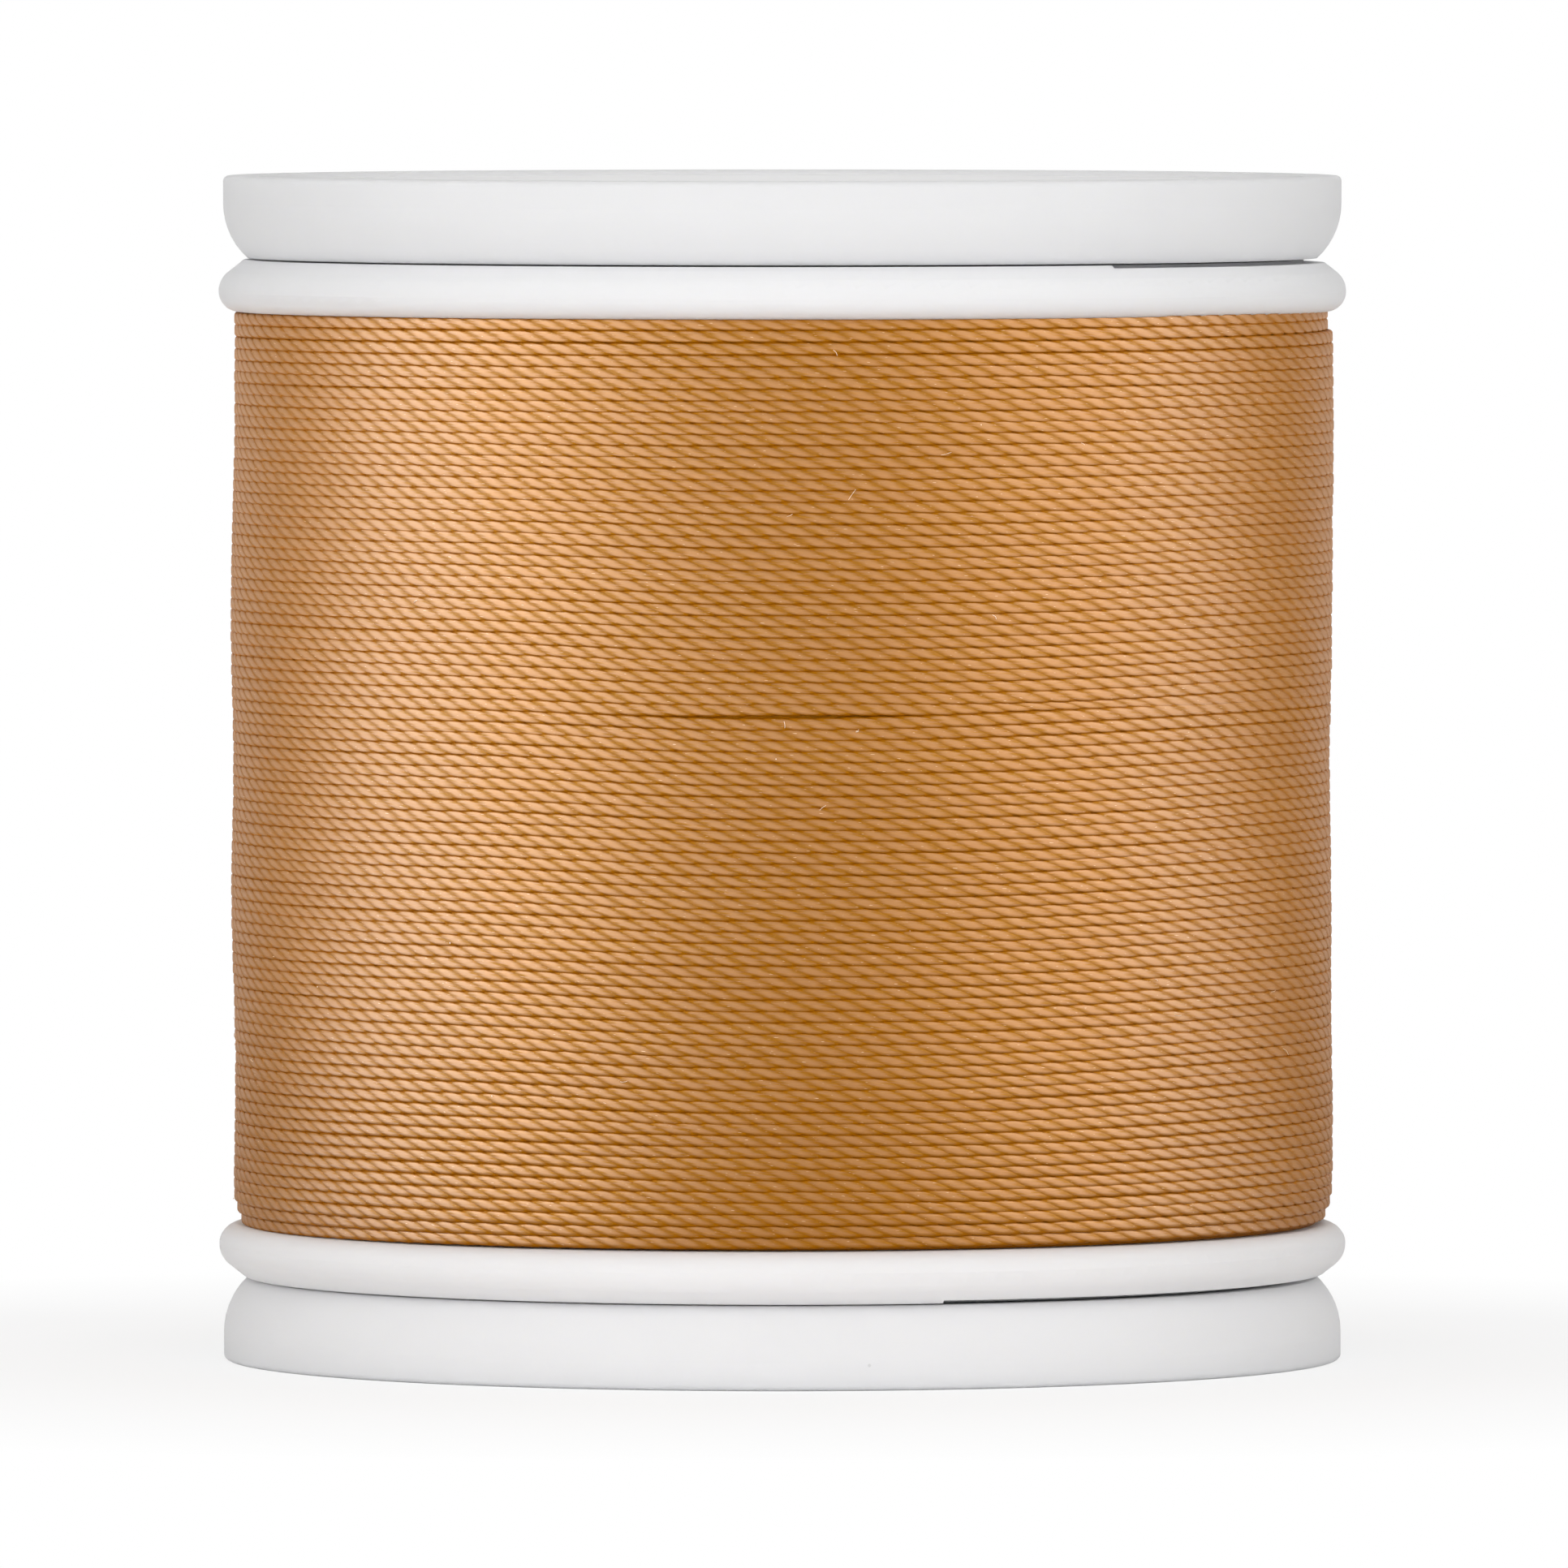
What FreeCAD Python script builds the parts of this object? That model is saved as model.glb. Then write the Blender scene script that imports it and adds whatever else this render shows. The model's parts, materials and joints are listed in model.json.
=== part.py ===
import FreeCAD, Part
import Sketcher
import math
import os

from FreeCAD import Placement, Rotation, Vector

# Waxed thread spool: a barrel with two rounded flanges, wound with thread, and a
# snap-in end cap at each end. Pulling a cap out by its short travel opens the groove
# beside the flange, where the free end of the thread is nipped.
#
# Millimetres. +Z runs up the spool's axis, the origin is the centre of the face that
# it stands on, and the side seen in the photograph faces -Y.

DRIVING_SIZES = {
    # overall
    "overall_height": 43.2,
    "cap_radius": 20.4,
    "flange_overhang": 0.17,
    "winding_inset": 0.54,
    # end cap
    "cap_depth": 3.0,
    "cap_straight_side": 1.0,
    "cap_round": 2.7,
    "rim_wall": 1.5,
    "rim_edge_round": 0.2,
    "recess_depth": 1.2,
    "web_thickness": 1.0,
    "lip_width": 0.9,
    "hub_wall": 1.4,
    "hub_boss_step": 0.3,
    "hub_sink": 0.3,
    "hub_length": 9.0,
    "spindle_radius": 3.5,
    "spindle_lead_in": 0.3,
    "rib_thickness": 1.0,
    "rib_height": 3.8,
    # snap fit
    "sleeve_wall": 1.2,
    "sleeve_clearance": 0.1,
    "sleeve_depth": 11.0,
    "finger_count": 6,
    "finger_root_depth": 5.0,
    "finger_slot_width": 1.5,
    "hook_height": 1.0,
    "hook_reach": 0.5,
    "hook_land": 0.3,
    "hook_clearance": 0.15,
    "snap_travel": 1.5,
    "stop_clearance": 0.05,
    "snap_gap": 0.06,
    # barrel
    "tube_radius": 11.0,
    "tube_wall": 1.5,
    "flange_thickness": 1.89,
    "flange_nose_round": 0.9,
    "flange_thread_round": 0.73,
    "flange_flank_angle": 38.0,
    "flange_recess_depth": 0.6,
    "flange_recess_land": 1.5,
    "relief_depth": 0.11,
    "relief_width": 0.5,
    "relief_span": 80.0,
    "lower_relief_start": -73.0,
    "upper_relief_start": -53.0,
    # end labels
    "label_thickness": 0.12,
    "label_margin": 0.5,
    # thread
    "thread_diameter": 0.4,
    "layer_diameter": 0.9,
    "layer_pitch": 1.366,
    "layer_gap": 0.12,
    "winding_clearance": 0.05,
    "shoulder_height": 2.0,
    "shoulder_drop": 0.6,
    "tail_clearance": 0.07,
    "tail_azimuth": 30.0,
}


class Size:
    """A number with the sheet expression that gives it."""

    def __init__(self, value, text):
        self.value = value
        self.text = text

    @staticmethod
    def of(other):
        if isinstance(other, Size):
            return other
        return Size(other, str(other))

    def join(self, other, sign, value):
        return Size(value, "(%s %s %s)" % (self.text, sign, Size.of(other).text))

    def __add__(self, other):
        return self.join(other, "+", self.value + Size.of(other).value)

    def __sub__(self, other):
        return self.join(other, "-", self.value - Size.of(other).value)

    def __mul__(self, other):
        return self.join(other, "*", self.value * Size.of(other).value)

    def __truediv__(self, other):
        return self.join(other, "/", self.value / Size.of(other).value)

    def __neg__(self):
        return Size(-self.value, "(-%s)" % self.text)


def sine(angle):
    return Size(math.sin(math.radians(angle.value)), "sin(%s * 1 deg)" % angle.text)


def cosine(angle):
    return Size(math.cos(math.radians(angle.value)), "cos(%s * 1 deg)" % angle.text)


def tangent(angle):
    return Size(math.tan(math.radians(angle.value)), "tan(%s * 1 deg)" % angle.text)


def root(square):
    return Size(math.sqrt(square.value), "sqrt(%s)" % square.text)


class Sizes:
    """The driving dimensions, one attribute for each alias of the sheet."""

    def __init__(self, sheet, table):
        for row, (alias, value) in enumerate(table.items(), start=1):
            sheet.set("A%d" % row, alias)
            sheet.set("B%d" % row, str(value))
            sheet.setAlias("B%d" % row, alias)
            setattr(self, alias, Size(value, "%s.%s" % (sheet.Name, alias)))


doc = FreeCAD.newDocument("thread_spool")
size_sheet = doc.addObject("Spreadsheet::Sheet", "Sizes")
S = Sizes(size_sheet, DRIVING_SIZES)
doc.recompute()

# Sizes that follow from the driving ones, as heights above the face it stands on

flange_radius = S.cap_radius + S.flange_overhang
winding_radius = flange_radius - S.winding_inset
tube_bore_radius = S.tube_radius - S.tube_wall
hub_tube_radius = S.spindle_radius + S.hub_wall
hub_radius = hub_tube_radius + S.hub_boss_step
flange_face = S.cap_depth + S.snap_gap
thread_face = flange_face + S.flange_thickness
nose_height = thread_face - S.flange_thread_round
hook_seat = S.sleeve_depth - S.hook_height
sleeve_radius = tube_bore_radius - S.sleeve_clearance
sleeve_bore = sleeve_radius - S.sleeve_wall
hook_radius = sleeve_radius + S.hook_reach
web_inner_face = S.recess_depth + S.web_thickness
lip_radius = S.cap_radius - S.cap_round + root(
    S.cap_round * S.cap_round - (S.cap_depth - S.cap_straight_side) * (S.cap_depth - S.cap_straight_side))
recess_radius = S.cap_radius - S.rim_wall
core_radius = winding_radius - S.layer_diameter - S.layer_gap
core_base = thread_face + S.winding_clearance
core_top = S.overall_height - core_base


def origin_feature(body, role):
    """The body's own origin plane or axis of that role."""
    for feature in body.Origin.OriginFeatures:
        if feature.Role == role:
            return feature
    raise ValueError("no origin feature " + role)


def new_body(label):
    body = doc.addObject("PartDesign::Body", label + "_body")
    body.Label = label
    return body


def new_sketch(body, name, role, lift=None, turn=None):
    """A sketch on one of the body's origin planes, lifted along its normal or turned about its Y."""
    sketch = body.newObject("Sketcher::SketchObject", name)
    sketch.AttachmentSupport = (origin_feature(body, role), [""])
    sketch.MapMode = "FlatFace"
    if lift is not None:
        sketch.setExpression("AttachmentOffset.Base.z", lift.text)
    if turn is not None:
        sketch.AttachmentOffset = Placement(Vector(0, 0, 0), Rotation(Vector(0, 1, 0), turn.value))
        sketch.setExpression("AttachmentOffset.Rotation.Angle", "%s * 1 deg" % turn.text)
    return sketch


def fix_point(sketch, geometry, end, across, up):
    """Holds one end of a piece of geometry at a distance across and up from the origin."""
    for kind, size in (("DistanceX", across), ("DistanceY", up)):
        index = sketch.addConstraint(Sketcher.Constraint(kind, -1, 1, geometry, end, size.value))
        sketch.setExpression("Constraints[%d]" % index, size.text)


def closed_outline(sketch, corners):
    """Draws a closed outline.

    Each corner is (across, up), joined to the next by a line, or (across, up, radius, turn),
    joined to the next by an arc of that radius: turn is +1 for an arc that runs
    anticlockwise and -1 for a clockwise one.
    """
    ends = []
    for number, corner in enumerate(corners):
        following = corners[(number + 1) % len(corners)]
        here = Vector(corner[0].value, corner[1].value, 0)
        there = Vector(following[0].value, following[1].value, 0)
        if len(corner) == 2:
            geometry = sketch.addGeometry(Part.LineSegment(here, there))
            ends.append((geometry, 1, 2))
            continue
        radius, turn = corner[2], corner[3]
        chord = there - here
        inward = Vector(-chord.y, chord.x, 0).normalize() * turn
        centre = (here + there) * 0.5 + inward * math.sqrt(max(radius.value ** 2 - chord.Length ** 2 / 4, 0))
        first, last = (here, there) if turn > 0 else (there, here)
        first_angle = math.atan2(first.y - centre.y, first.x - centre.x)
        last_angle = math.atan2(last.y - centre.y, last.x - centre.x)
        circle = Part.Circle(centre, Vector(0, 0, 1), radius.value)
        geometry = sketch.addGeometry(Part.ArcOfCircle(circle, first_angle, last_angle))
        ends.append((geometry, 1, 2) if turn > 0 else (geometry, 2, 1))
        index = sketch.addConstraint(Sketcher.Constraint("Radius", geometry, radius.value))
        sketch.setExpression("Constraints[%d]" % index, radius.text)
    for number, (geometry, start, end) in enumerate(ends):
        next_geometry, next_start, _ = ends[(number + 1) % len(ends)]
        sketch.addConstraint(Sketcher.Constraint("Coincident", geometry, end, next_geometry, next_start))
        fix_point(sketch, geometry, start, corners[number][0], corners[number][1])


def rectangle(sketch, left, right, low, high):
    closed_outline(sketch, [(left, low), (right, low), (right, high), (left, high)])


def revolve(body, sketch, name):
    feature = body.newObject("PartDesign::Revolution", name)
    feature.Profile = sketch
    feature.ReferenceAxis = (sketch, ["V_Axis"])
    feature.Angle = 360
    body.Tip = feature
    return feature


def groove(body, sketch, name, angle=None):
    feature = body.newObject("PartDesign::Groove", name)
    feature.Profile = sketch
    feature.ReferenceAxis = (sketch, ["V_Axis"])
    feature.Angle = 360
    if angle is not None:
        feature.setExpression("Angle", "%s * 1 deg" % angle.text)
    body.Tip = feature
    return feature


def around_axis(body, original, name, count):
    """Repeats a feature evenly about the body's Z axis."""
    pattern = body.newObject("PartDesign::PolarPattern", name)
    pattern.Originals = [original]
    pattern.Axis = (origin_feature(body, "Z_Axis"), [""])
    pattern.Angle = 360
    pattern.setExpression("Occurrences", count.text)
    body.Tip = pattern
    return pattern


def mirrored(body, original, name):
    """Repeats a feature across the body's XY plane."""
    mirror = body.newObject("PartDesign::Mirrored", name)
    mirror.Originals = [original]
    mirror.MirrorPlane = (origin_feature(body, "XY_Plane"), [""])
    body.Tip = mirror
    return mirror


def flange_outline():
    """One flange in the barrel's own frame, whose height zero is the spool's mid-height."""
    middle = S.overall_height / 2
    groove_side = flange_face - middle
    thread_side = thread_face - middle
    nose = nose_height - middle
    nose_centre = flange_radius - S.flange_nose_round
    flank_end = nose_centre + S.flange_nose_round * sine(S.flange_flank_angle)
    flank_end_height = nose - S.flange_nose_round * cosine(S.flange_flank_angle)
    flank_start = flank_end - (flank_end_height - groove_side) / tangent(S.flange_flank_angle)
    recess_outer = lip_radius - S.lip_width
    recess_floor = groove_side + S.flange_recess_depth
    return [
        (tube_bore_radius, groove_side),
        (S.tube_radius + S.flange_recess_land, groove_side),
        (S.tube_radius + S.flange_recess_land, recess_floor),
        (recess_outer, recess_floor),
        (recess_outer, groove_side),
        (flank_start, groove_side),
        (flank_end, flank_end_height, S.flange_nose_round, 1),
        (flange_radius, nose, S.flange_thread_round, 1),
        (flange_radius - S.flange_thread_round, thread_side),
        (tube_bore_radius, thread_side),
    ]


def make_barrel():
    """The tube that the thread is wound on, with a rounded flange at each end."""
    body = new_body("barrel")
    middle = S.overall_height / 2

    tube = new_sketch(body, "tube_section", "XZ_Plane")
    rectangle(tube, tube_bore_radius, S.tube_radius, flange_face - middle, middle - flange_face)
    revolve(body, tube, "tube")

    flange = new_sketch(body, "flange_section", "XZ_Plane")
    closed_outline(flange, flange_outline())
    lower_flange = revolve(body, flange, "lower_flange")
    mirrored(body, lower_flange, "both_flanges")

    # The ring inside each end that the snap hooks run in
    catch = new_sketch(body, "catch_section", "XZ_Plane")
    rectangle(
        catch,
        tube_bore_radius - S.sleeve_clearance,
        hook_radius + S.hook_clearance,
        hook_seat - S.snap_travel - S.stop_clearance - middle,
        S.sleeve_depth + S.hook_clearance - middle)
    lower_catch = groove(body, catch, "lower_catch")
    mirrored(body, lower_catch, "both_catches")

    # A shallow step in each flange's face opens the groove on one side for the thread's end
    for name, start, low, high in (
            ("lower_relief", S.lower_relief_start, flange_face - middle, flange_face - middle + S.relief_depth),
            ("upper_relief", S.upper_relief_start, middle - flange_face - S.relief_depth, middle - flange_face)):
        relief = new_sketch(body, name + "_section", "XZ_Plane", turn=start)
        rectangle(relief, lip_radius - S.relief_width, flange_radius, low, high)
        groove(body, relief, name, S.relief_span)

    body.setExpression("Placement.Base.z", middle.text)
    return body


def cap_outline():
    """Half of the cap's section, from its rim round the lip, sleeve and hub to the recess."""
    edge = S.rim_edge_round
    return [
        (recess_radius + edge, Size.of(0.0)),
        (S.cap_radius - edge, Size.of(0.0), edge, 1),
        (S.cap_radius, edge),
        (S.cap_radius, S.cap_straight_side, S.cap_round, 1),
        (lip_radius, S.cap_depth),
        (lip_radius - S.lip_width, S.cap_depth),
        (lip_radius - S.lip_width, web_inner_face),
        (sleeve_radius, web_inner_face),
        (sleeve_radius, hook_seat),
        (hook_radius, hook_seat),
        (hook_radius, hook_seat + S.hook_land),
        (sleeve_radius - S.sleeve_clearance, S.sleeve_depth),
        (sleeve_bore, S.sleeve_depth),
        (sleeve_bore, web_inner_face),
        (hub_tube_radius, web_inner_face),
        (hub_tube_radius, S.hub_length),
        (S.spindle_radius, S.hub_length),
        (S.spindle_radius, S.hub_sink + S.spindle_lead_in),
        (S.spindle_radius + S.spindle_lead_in, S.hub_sink),
        (hub_radius, S.hub_sink),
        (hub_radius, S.recess_depth),
        (recess_radius, S.recess_depth),
        (recess_radius, edge, edge, -1),
    ]


def make_cap(label):
    """A snap-in end cap, built with its outer face at height zero and its sleeve upwards."""
    body = new_body(label)

    section = new_sketch(body, label + "_section", "XZ_Plane")
    closed_outline(section, cap_outline())
    revolve(body, section, label + "_shell")

    # Slots that part the end of the sleeve into springy fingers
    slot = new_sketch(body, label + "_slot_outline", "XY_Plane", lift=S.finger_root_depth)
    rectangle(slot, sleeve_bore - S.sleeve_wall, hook_radius + S.hook_reach,
              -S.finger_slot_width / 2, S.finger_slot_width / 2)
    doc.recompute()
    whole_volume = body.Shape.Volume
    cut = body.newObject("PartDesign::Pocket", label + "_slot")
    cut.Profile = slot
    cut.Reversed = True
    cut.setExpression("Length", S.sleeve_depth.text)
    body.Tip = cut
    around_axis(body, cut, label + "_slots", S.finger_count)
    doc.recompute()
    slot_volume = S.finger_slot_width.value * S.sleeve_wall.value * S.hook_height.value
    if body.Shape.Volume > whole_volume - S.finger_count.value * slot_volume:
        raise ValueError("the finger slots cut too little")

    # Ribs from the hub to the sleeve, one behind each finger
    rib = new_sketch(body, label + "_rib_outline", "XY_Plane", lift=web_inner_face - S.web_thickness / 2)
    rectangle(rib, hub_tube_radius - S.rib_thickness / 4, sleeve_bore + S.sleeve_wall / 2,
              -S.rib_thickness / 2, S.rib_thickness / 2)
    rib.AttachmentOffset = Placement(
        rib.AttachmentOffset.Base, Rotation(Vector(0, 0, 1), 180.0 / S.finger_count.value))
    rib.setExpression("AttachmentOffset.Rotation.Angle", "180 deg / " + S.finger_count.text)
    pad = body.newObject("PartDesign::Pad", label + "_rib")
    pad.Profile = rib
    pad.setExpression("Length", (S.rib_height + S.web_thickness / 2).text)
    body.Tip = pad
    around_axis(body, pad, label + "_ribs", S.finger_count)
    return body


def make_label(name):
    """A paper ring stuck in a cap's recess, built the same way up as the cap."""
    body = new_body(name)
    outline = new_sketch(body, name + "_outline", "XY_Plane", lift=S.recess_depth - S.label_thickness)
    for radius in (recess_radius - S.label_margin, hub_radius + S.label_margin):
        circle = outline.addGeometry(Part.Circle(Vector(0, 0, 0), Vector(0, 0, 1), radius.value))
        outline.addConstraint(Sketcher.Constraint("Coincident", circle, 3, -1, 1))
        index = outline.addConstraint(Sketcher.Constraint("Radius", circle, radius.value))
        outline.setExpression("Constraints[%d]" % index, radius.text)
    paper = body.newObject("PartDesign::Pad", name + "_paper")
    paper.Profile = outline
    paper.setExpression("Length", S.label_thickness.text)
    body.Tip = paper
    return body


def turn_over(body):
    """Puts a piece that is built for the lower end at the upper end."""
    body.Placement = Placement(Vector(0, 0, S.overall_height.value), Rotation(Vector(1, 0, 0), 180))
    body.setExpression("Placement.Base.z", S.overall_height.text)


def make_inner_layers():
    """The wound thread under its outer layer, with the drawn-in shoulder at its foot."""
    body = new_body("thread_inner_layers")
    inner = S.tube_radius + S.winding_clearance
    section = new_sketch(body, "winding_section", "XZ_Plane")
    closed_outline(section, [
        (inner, core_base),
        (core_radius - S.shoulder_drop, core_base),
        (core_radius, core_base + S.shoulder_height),
        (core_radius, core_top),
        (inner, core_top),
    ])
    revolve(body, section, "inner_layers")
    return body


def arc_edge(start, start_direction, end):
    """The arc that leaves start along a direction and reaches end."""
    chord = end - start
    aside = chord - start_direction * chord.dot(start_direction)
    if aside.Length < 1e-7:
        return Part.LineSegment(start, end).toShape()
    aside.normalize()
    radius = chord.dot(chord) / (2 * chord.dot(aside))
    centre = start + aside * radius
    middle = centre + ((start + end) * 0.5 - centre).normalize() * radius
    return Part.Arc(start, middle, end).toShape()


def biarc(start, start_direction, end, end_direction):
    """Two tangent arcs that leave start and reach end along the given directions."""
    chord = end - start
    both = start_direction + end_direction
    a = 2 * (1 - start_direction.dot(end_direction))
    b = 2 * chord.dot(both)
    reach = (-b + math.sqrt(b * b + 4 * a * chord.dot(chord))) / (2 * a)
    joint = (start + end + (start_direction - end_direction) * reach) * 0.5
    return [arc_edge(start, start_direction, joint), arc_edge(end, -end_direction, joint)]


def layer_point(turn, turns, low, high, radius):
    """The centre line of the outer layer after a number of turns, and its direction there."""

    def place(count):
        height = low + (high - low) * count / turns
        foot = max(0.0, 1.0 - (height - core_base.value) / S.shoulder_height.value)
        reach = radius - S.shoulder_drop.value * foot
        angle = 2 * math.pi * count
        return Vector(reach * math.cos(angle), reach * math.sin(angle), height)

    small = 1e-4
    return place(turn), (place(turn + small) - place(turn - small)).normalize()


def gap_to_itself(points, diameter, steps_per_turn):
    """The least gap between one turn of a tube and the next ones, measured on points."""
    least = float("inf")
    for number, point in enumerate(points):
        for other in points[number + steps_per_turn // 2:number + 3 * steps_per_turn // 2]:
            least = min(least, point.distanceToPoint(other))
    return least - diameter


def make_outer_layer():
    """The outer layer of turns: one unbroken tube wound over the inner layers."""
    diameter = S.layer_diameter.value
    radius = winding_radius.value - diameter / 2
    low = core_base.value + diameter / 2
    high = core_top.value - diameter / 2
    quarters = int(round((high - low) / S.layer_pitch.value * 4))
    turns = quarters / 4
    stations = [layer_point(quarter / 4, turns, low, high, radius) for quarter in range(quarters + 1)]

    first, first_direction = stations[0]
    last, last_direction = stations[-1]
    edges = [Part.LineSegment(first - first_direction * diameter, first).toShape()]
    for (start, start_direction), (end, end_direction) in zip(stations, stations[1:]):
        edges += biarc(start, start_direction, end, end_direction)
    edges.append(Part.LineSegment(last, last + last_direction * diameter).toShape())
    path = Part.Wire(edges)

    begin = first - first_direction * diameter
    profile = Part.Wire(Part.Circle(begin, first_direction, diameter / 2).toShape())
    shell = Part.BRepOffsetAPI.MakePipeShell(path)
    shell.add(profile)
    shell.build()
    shell.makeSolid()

    steps = 24
    points = [layer_point(step / steps, turns, low, high, radius)[0] for step in range(int(turns * steps) + 1)]
    print("outer layer: gap to itself %.3f mm" % gap_to_itself(points, diameter, steps))
    feature = doc.addObject("Part::Feature", "outer_layer")
    feature.Label = "thread_outer_layer"
    feature.Shape = shell.shape()
    check_tube(feature.Shape, path, diameter, "outer layer")
    return feature


def check_tube(shape, path, diameter, name):
    """Compares a tube's volume with its section times its length."""
    expected = math.pi * diameter ** 2 / 4 * path.Length
    print("%s: length %.1f mm, volume ratio %.4f" % (name, path.Length, shape.Volume / expected))
    if abs(shape.Volume / expected - 1) > 0.02:
        raise ValueError(name + " has a wrong volume")


def nipped_place():
    """Radius and height at which the thread's end is held between cap and flange."""
    hold = S.thread_diameter.value / 2 + S.tail_clearance.value
    angle = math.radians(S.flange_flank_angle.value)
    outward = Vector(math.cos(angle), math.sin(angle), 0)
    off_flank = Vector(math.sin(angle), -math.cos(angle), 0)
    nose = Vector(flange_radius.value - S.flange_nose_round.value, nose_height.value, 0)
    start = nose + off_flank * (S.flange_nose_round.value + hold)
    round_centre = Vector(S.cap_radius.value - S.cap_round.value, S.cap_straight_side.value, 0)
    away = start - round_centre
    half = away.dot(outward)
    reach = S.cap_round.value + hold
    along = -half + math.sqrt(half * half - away.dot(away) + reach * reach)
    held = start + outward * along
    return held.x, S.overall_height.value - held.y


def rounded_path(points):
    """Straight runs through the points, joined by arcs as large as the runs allow."""
    edges = []
    previous = points[0]
    for before, corner, after in zip(points, points[1:], points[2:]):
        incoming = (before - corner).normalize()
        outgoing = (after - corner).normalize()
        half_turn = (math.pi - incoming.getAngle(outgoing)) / 2
        cut = 0.45 * min((before - corner).Length, (after - corner).Length)
        radius = cut / math.tan(half_turn)
        print("tail: radius %.2f mm" % radius)
        middle_way = (incoming + outgoing).normalize()
        centre = corner + middle_way * (radius / math.cos(half_turn))
        start = corner + incoming * cut
        end = corner + outgoing * cut
        edges.append(Part.LineSegment(previous, start).toShape())
        edges.append(Part.Arc(start, centre - middle_way * radius, end).toShape())
        previous = end
    edges.append(Part.LineSegment(previous, points[-1]).toShape())
    return Part.Wire(edges)


def tail_points():
    """The free end's route, up over the upper flange and into the groove beside it.

    Each point is a turn in degrees past the tail's azimuth, a radius and a height.
    """
    half = S.thread_diameter.value / 2
    clear = S.tail_clearance.value
    held_radius, held_height = nipped_place()
    flange_low = S.overall_height.value - thread_face.value
    nose_level = S.overall_height.value - nose_height.value
    on_winding = winding_radius.value + half + 2 * clear
    past_nose = flange_radius.value + half + 3 * clear
    route = [
        (0.0, on_winding, flange_low - 1.1),
        (9.0, on_winding + clear, flange_low - 0.75),
        (16.0, past_nose, nose_level - 0.55),
        (20.5, past_nose, nose_level + 0.45),
        (25.0, held_radius, held_height),
        (29.5, held_radius, held_height),
        (34.0, held_radius, held_height),
    ]
    points = []
    for turn, radius, height in route:
        angle = math.radians(S.tail_azimuth.value + turn)
        points.append(Vector(radius * math.cos(angle), radius * math.sin(angle), height))
    return points


def make_tail():
    """The thread's free end, which the upper cap nips against its flange."""
    diameter = S.thread_diameter.value
    points = tail_points()
    path = rounded_path(points)
    profile = Part.Wire(Part.Circle(points[0], points[1] - points[0], diameter / 2).toShape())
    shell = Part.BRepOffsetAPI.MakePipeShell(path)
    shell.add(profile)
    shell.build()
    shell.makeSolid()
    feature = doc.addObject("Part::Feature", "tail")
    feature.Label = "thread_tail"
    feature.Shape = shell.shape()
    check_tube(feature.Shape, path, diameter, "tail")
    return feature


def write_parts(pieces):
    """Checks every object and writes each sub-part to its own file."""
    doc.recompute()
    for item in doc.Objects:
        if "Invalid" in item.State or "Error" in item.State:
            raise ValueError("%s failed: %s" % (item.Label, item.State))
    os.makedirs("parts", exist_ok=True)
    for piece in pieces:
        shape = piece.Shape
        if shape.isNull() or not shape.isValid():
            raise ValueError(piece.Label + " has no valid shape")
        shape.exportStep(os.path.join("parts", piece.Label + ".step"))
        print("%s: %d solid, %.1f cubic mm" % (piece.Label, len(shape.Solids), shape.Volume))


top_cap = make_cap("top_cap")
turn_over(top_cap)
top_label = make_label("top_label")
turn_over(top_label)

write_parts([
    make_barrel(),
    top_cap,
    make_cap("bottom_cap"),
    top_label,
    make_label("bottom_label"),
    make_inner_layers(),
    make_outer_layer(),
    make_tail(),
])
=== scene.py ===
"""Looks of a waxed thread spool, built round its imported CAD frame.

The spool is a white moulded barrel with a rounded flange at each end, a snap-in cap at
each end, and a winding of three-ply waxed thread. Sizes in the classes are millimetres,
meshes are metres, and the side seen in the photograph faces -Y.
"""

import json
import logging
import math
from dataclasses import dataclass, fields
from enum import Enum
from typing import ClassVar

import bmesh
import bpy
import numpy as np
from bpy.types import Curve, Material, Mesh, Node, NodeSocket, NodeTree
from mathutils import Matrix, Vector


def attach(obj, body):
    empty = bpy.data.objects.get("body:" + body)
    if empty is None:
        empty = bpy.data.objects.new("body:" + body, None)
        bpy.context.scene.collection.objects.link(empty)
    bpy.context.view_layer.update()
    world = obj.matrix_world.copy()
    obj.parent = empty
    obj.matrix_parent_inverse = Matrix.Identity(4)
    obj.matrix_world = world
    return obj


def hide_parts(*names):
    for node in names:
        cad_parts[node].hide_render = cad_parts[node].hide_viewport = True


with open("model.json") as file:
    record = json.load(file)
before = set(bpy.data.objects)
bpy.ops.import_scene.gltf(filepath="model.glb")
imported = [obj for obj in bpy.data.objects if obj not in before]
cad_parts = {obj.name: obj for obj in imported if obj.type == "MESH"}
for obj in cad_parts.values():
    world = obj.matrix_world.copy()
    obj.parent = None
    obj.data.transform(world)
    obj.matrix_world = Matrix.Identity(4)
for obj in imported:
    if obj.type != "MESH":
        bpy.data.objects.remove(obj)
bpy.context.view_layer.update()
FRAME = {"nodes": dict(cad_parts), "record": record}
LOG = logging.getLogger("thread_spool")
MM = 0.001
TURN = 360.0
WOUND_BARREL = "wound_barrel"
SPOOL_AXIS = {"axis": (0.0, 0.0, 1.0), "cent": (0.0, 0.0, 0.0)}

Colour = tuple[float, float, float]
Rate = tuple[float, float, float]
Range = tuple[float, float]
Hump = tuple[Range, Range]
FULL: Range = (0.0, 1.0)


class Slot(Enum):
    """The record's material slots."""

    BARREL = "barrel_plastic"
    CAP = "cap_plastic"
    THREAD = "thread"
    LABEL = "label_paper"


def smooth_step(value: np.ndarray, low: float, high: float) -> np.ndarray:
    """Rises smoothly from 0 at low to 1 at high."""
    share = np.clip((value - low) / (high - low), 0.0, 1.0)
    return share * share * (3.0 - 2.0 * share)


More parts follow.
